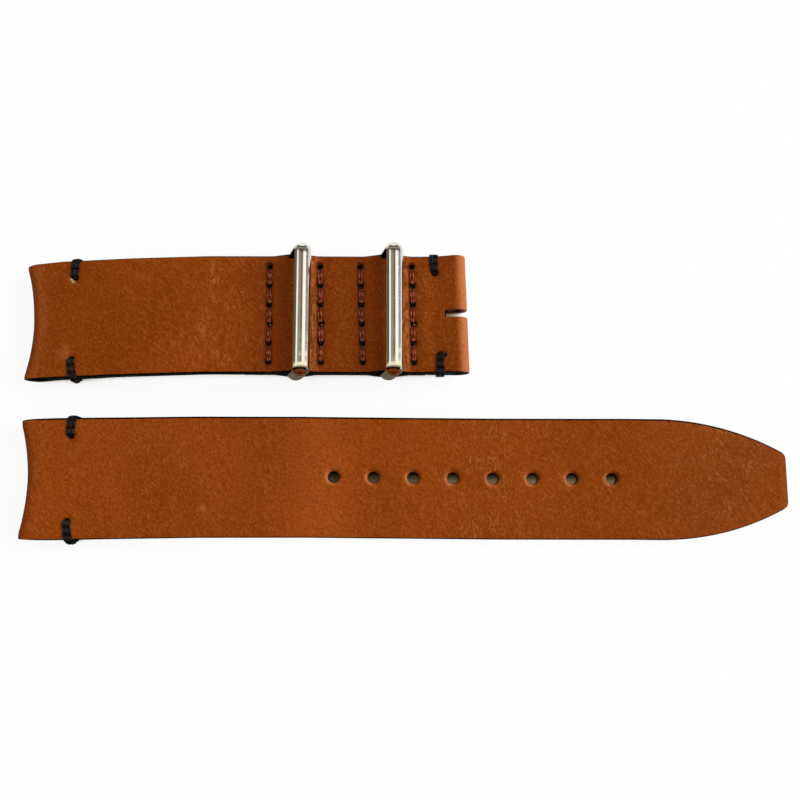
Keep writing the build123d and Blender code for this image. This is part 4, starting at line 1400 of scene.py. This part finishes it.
def white_card():
    """Plain white card: an even white ground that keeps the strap's soft shadow, and down in the strap's
    holes is painted dark, with a painted glow towards the right."""
    material, tree, shader, place = begin("Plain white card")
    split = add(tree, "SeparateXYZ", {0: place})
    along, over = split.outputs["X"], split.outputs["Y"]
    # Down in the tongue holes and the slot, where the open sky is narrow, the card is painted dark: painted
    # shade
    sky = add(tree, "AmbientOcclusion", {"Distance": 8 * MM}, samples=20).outputs["AO"]
    open_share = add(tree, "MapRange", {0: sky, 1: 0.32, 2: 0.42})
    # Painted light and shade on the tongue holes' floors: dark at the back and pale at the front, with a
    # painted glow growing to the right, as the room's light falls in from behind, further in to the right.
    # The holes' line is not quite along the table
    hole_line = LONG_AT[1] - 0.08
    level = add(tree, "Math", {0: along, 1: 0.008, 2: over}, operation="MULTIPLY_ADD")
    reach = add(tree, "MapRange", {0: level, 1: (hole_line + 0.7) * MM, 2: (hole_line - 0.5) * MM})
    # The buckle slot, on the other half, is open to it all round
    slot_side = add(tree, "Math", {0: over, 1: 0.0}, operation="GREATER_THAN")
    reached = add(tree, "Math", {0: reach, 1: slot_side}, operation="MAXIMUM")
    hole_floor = add(tree, "Mix", {0: reached, 6: "#2A1C10", 7: "#8F7A5A"}, data_type="RGBA")
    glow = add(tree, "MapRange", {0: along, 1: -0.012, 2: 0.022, 4: 0.5})
    inner_glow = add(tree, "Math", {0: glow, 1: reached}, operation="MULTIPLY")
    lit = add(tree, "MapRange", {0: open_share, 3: inner_glow, 4: 0.9})
    # Polished metal shows the card in painted shade, as it was before the backdrop was whitened: olive grey
    # in front of the rings and to their left, and dark out of the light beyond
    slope = add(tree, "Math", {0: along, 1: 0.5, 2: over}, operation="MULTIPLY_ADD")
    span = add(tree, "MapRange", {0: slope, 1: -0.05, 2: 0.03})
    shades = add(tree, "ValToRGB", {0: span}, stops=MIRRORED_TABLE)
    rays = add(tree, "LightPath").outputs
    tint = add(tree, "Mix", {0: rays["Is Glossy Ray"], 6: "#F6F6F6", 7: shades}, data_type="RGBA")
    card = add(tree, "Mix", {0: open_share, 6: hole_floor, 7: tint}, data_type="RGBA")
    feed(tree, shader, {"Base Color": card, "Roughness": 0.8, "Specular IOR Level": 0.1})
    # What the eye or a mirror sees of the card glows; what lights the strap is only lit
    direct = rays["Is Camera Ray"]
    for kind in ("Is Glossy Ray", "Is Transmission Ray"):
        direct = add(tree, "Math", {0: direct, 1: rays[kind]}, operation="MAXIMUM")
    seen = add(tree, "Math", {0: direct, 1: lit}, operation="MULTIPLY")
    white = add(tree, "Emission", {"Color": card, "Strength": 1.09})
    mixed = add(tree, "MixShader", {0: seen, 1: shader, 2: white})
    feed(tree, tree.nodes["Material Output"], {"Surface": mixed})
    return material


def table():
    """A plain white table under both halves."""
    mesh = bpy.data.meshes.new("table")
    corners = [(x * TABLE_REACH, y * TABLE_REACH, 0) for x, y in ((-1, -1), (1, -1), (1, 1), (-1, 1))]
    mesh.from_pydata(corners, [], [(0, 1, 2, 3)])
    made = placed("table", mesh)
    made.location.z = -TABLE_DROP * MM
    mesh.materials.append(white_card())


camera()
surroundings()
table()
window()

calf = tan_calf()
black_calf = ("black_calf", lining_calf("Lining calf, black", "#0D0C0B", "#26221E"))
filler = ("padding_leather", lining_calf("Filler leather, edge painted", "#15120F", "#2A241E"))
stiffener = ("stiffener_sheet", stiffener_sheet())
brown_thread = sewing_thread("Waxed linen thread, red-brown", "#5A1607", "#D8774A", 0.5, 0.1)
black_thread = sewing_thread("Waxed thread, black", "#010101", "#3C3B3E", 0.3, 0.0)
steel = polished_steel()
layer_materials = {
    "short_stiffener": stiffener, "short_lining": black_calf, "keeper_backing": black_calf,
    "long_padding": filler, "long_stiffener": stiffener, "long_lining": black_calf,
}

short_section, short_layers = short_sections()
long_section, long_layers = long_sections()
short_leather(short_section, calf)
long_leather(long_section, calf)
flat_layers(short_layers, plan_half_width, "short_half", LUG_TACKS + BUCKLE_TACKS, layer_materials)
flat_layers(long_layers, tail_half_width, "long_half", LUG_TACKS, layer_materials)
for number in range(4):
    seam(number, short_section, brown_thread)
for place, side in LUG_TACKS:
    # The front ones lean further and stand off the edge more
    slant, bulge = (0.15, 0.1) if side > 0 else (0.45, 0.4)
    tack("short_lug_tack_" + SIDE_NAMES[side], "short_half", short_section, place, side,
         short_section.height(short_section.under(place)), black_thread, 10 + side, slant, bulge)
    tack("long_lug_tack_" + SIDE_NAMES[side], "long_half", long_section, place, side,
         LONG_TACK_LOW, black_thread, 20 + side, slant, bulge)
for place, side in BUCKLE_TACKS:
    # The back one leans towards the lug end, and the front one ends in two half hitches
    slant, bulge = (-0.2 if side > 0 else 0.0), 0.05
    tack("buckle_tack_" + SIDE_NAMES[side], "short_half", short_section, place, side,
         short_section.height(short_section.under(place)), black_thread, 30 + side, slant, bulge,
         knot=side < 0)
for number in (1, 2):
    keeper_ring(number, steel)

bpy.context.scene.view_settings.view_transform = "Standard"
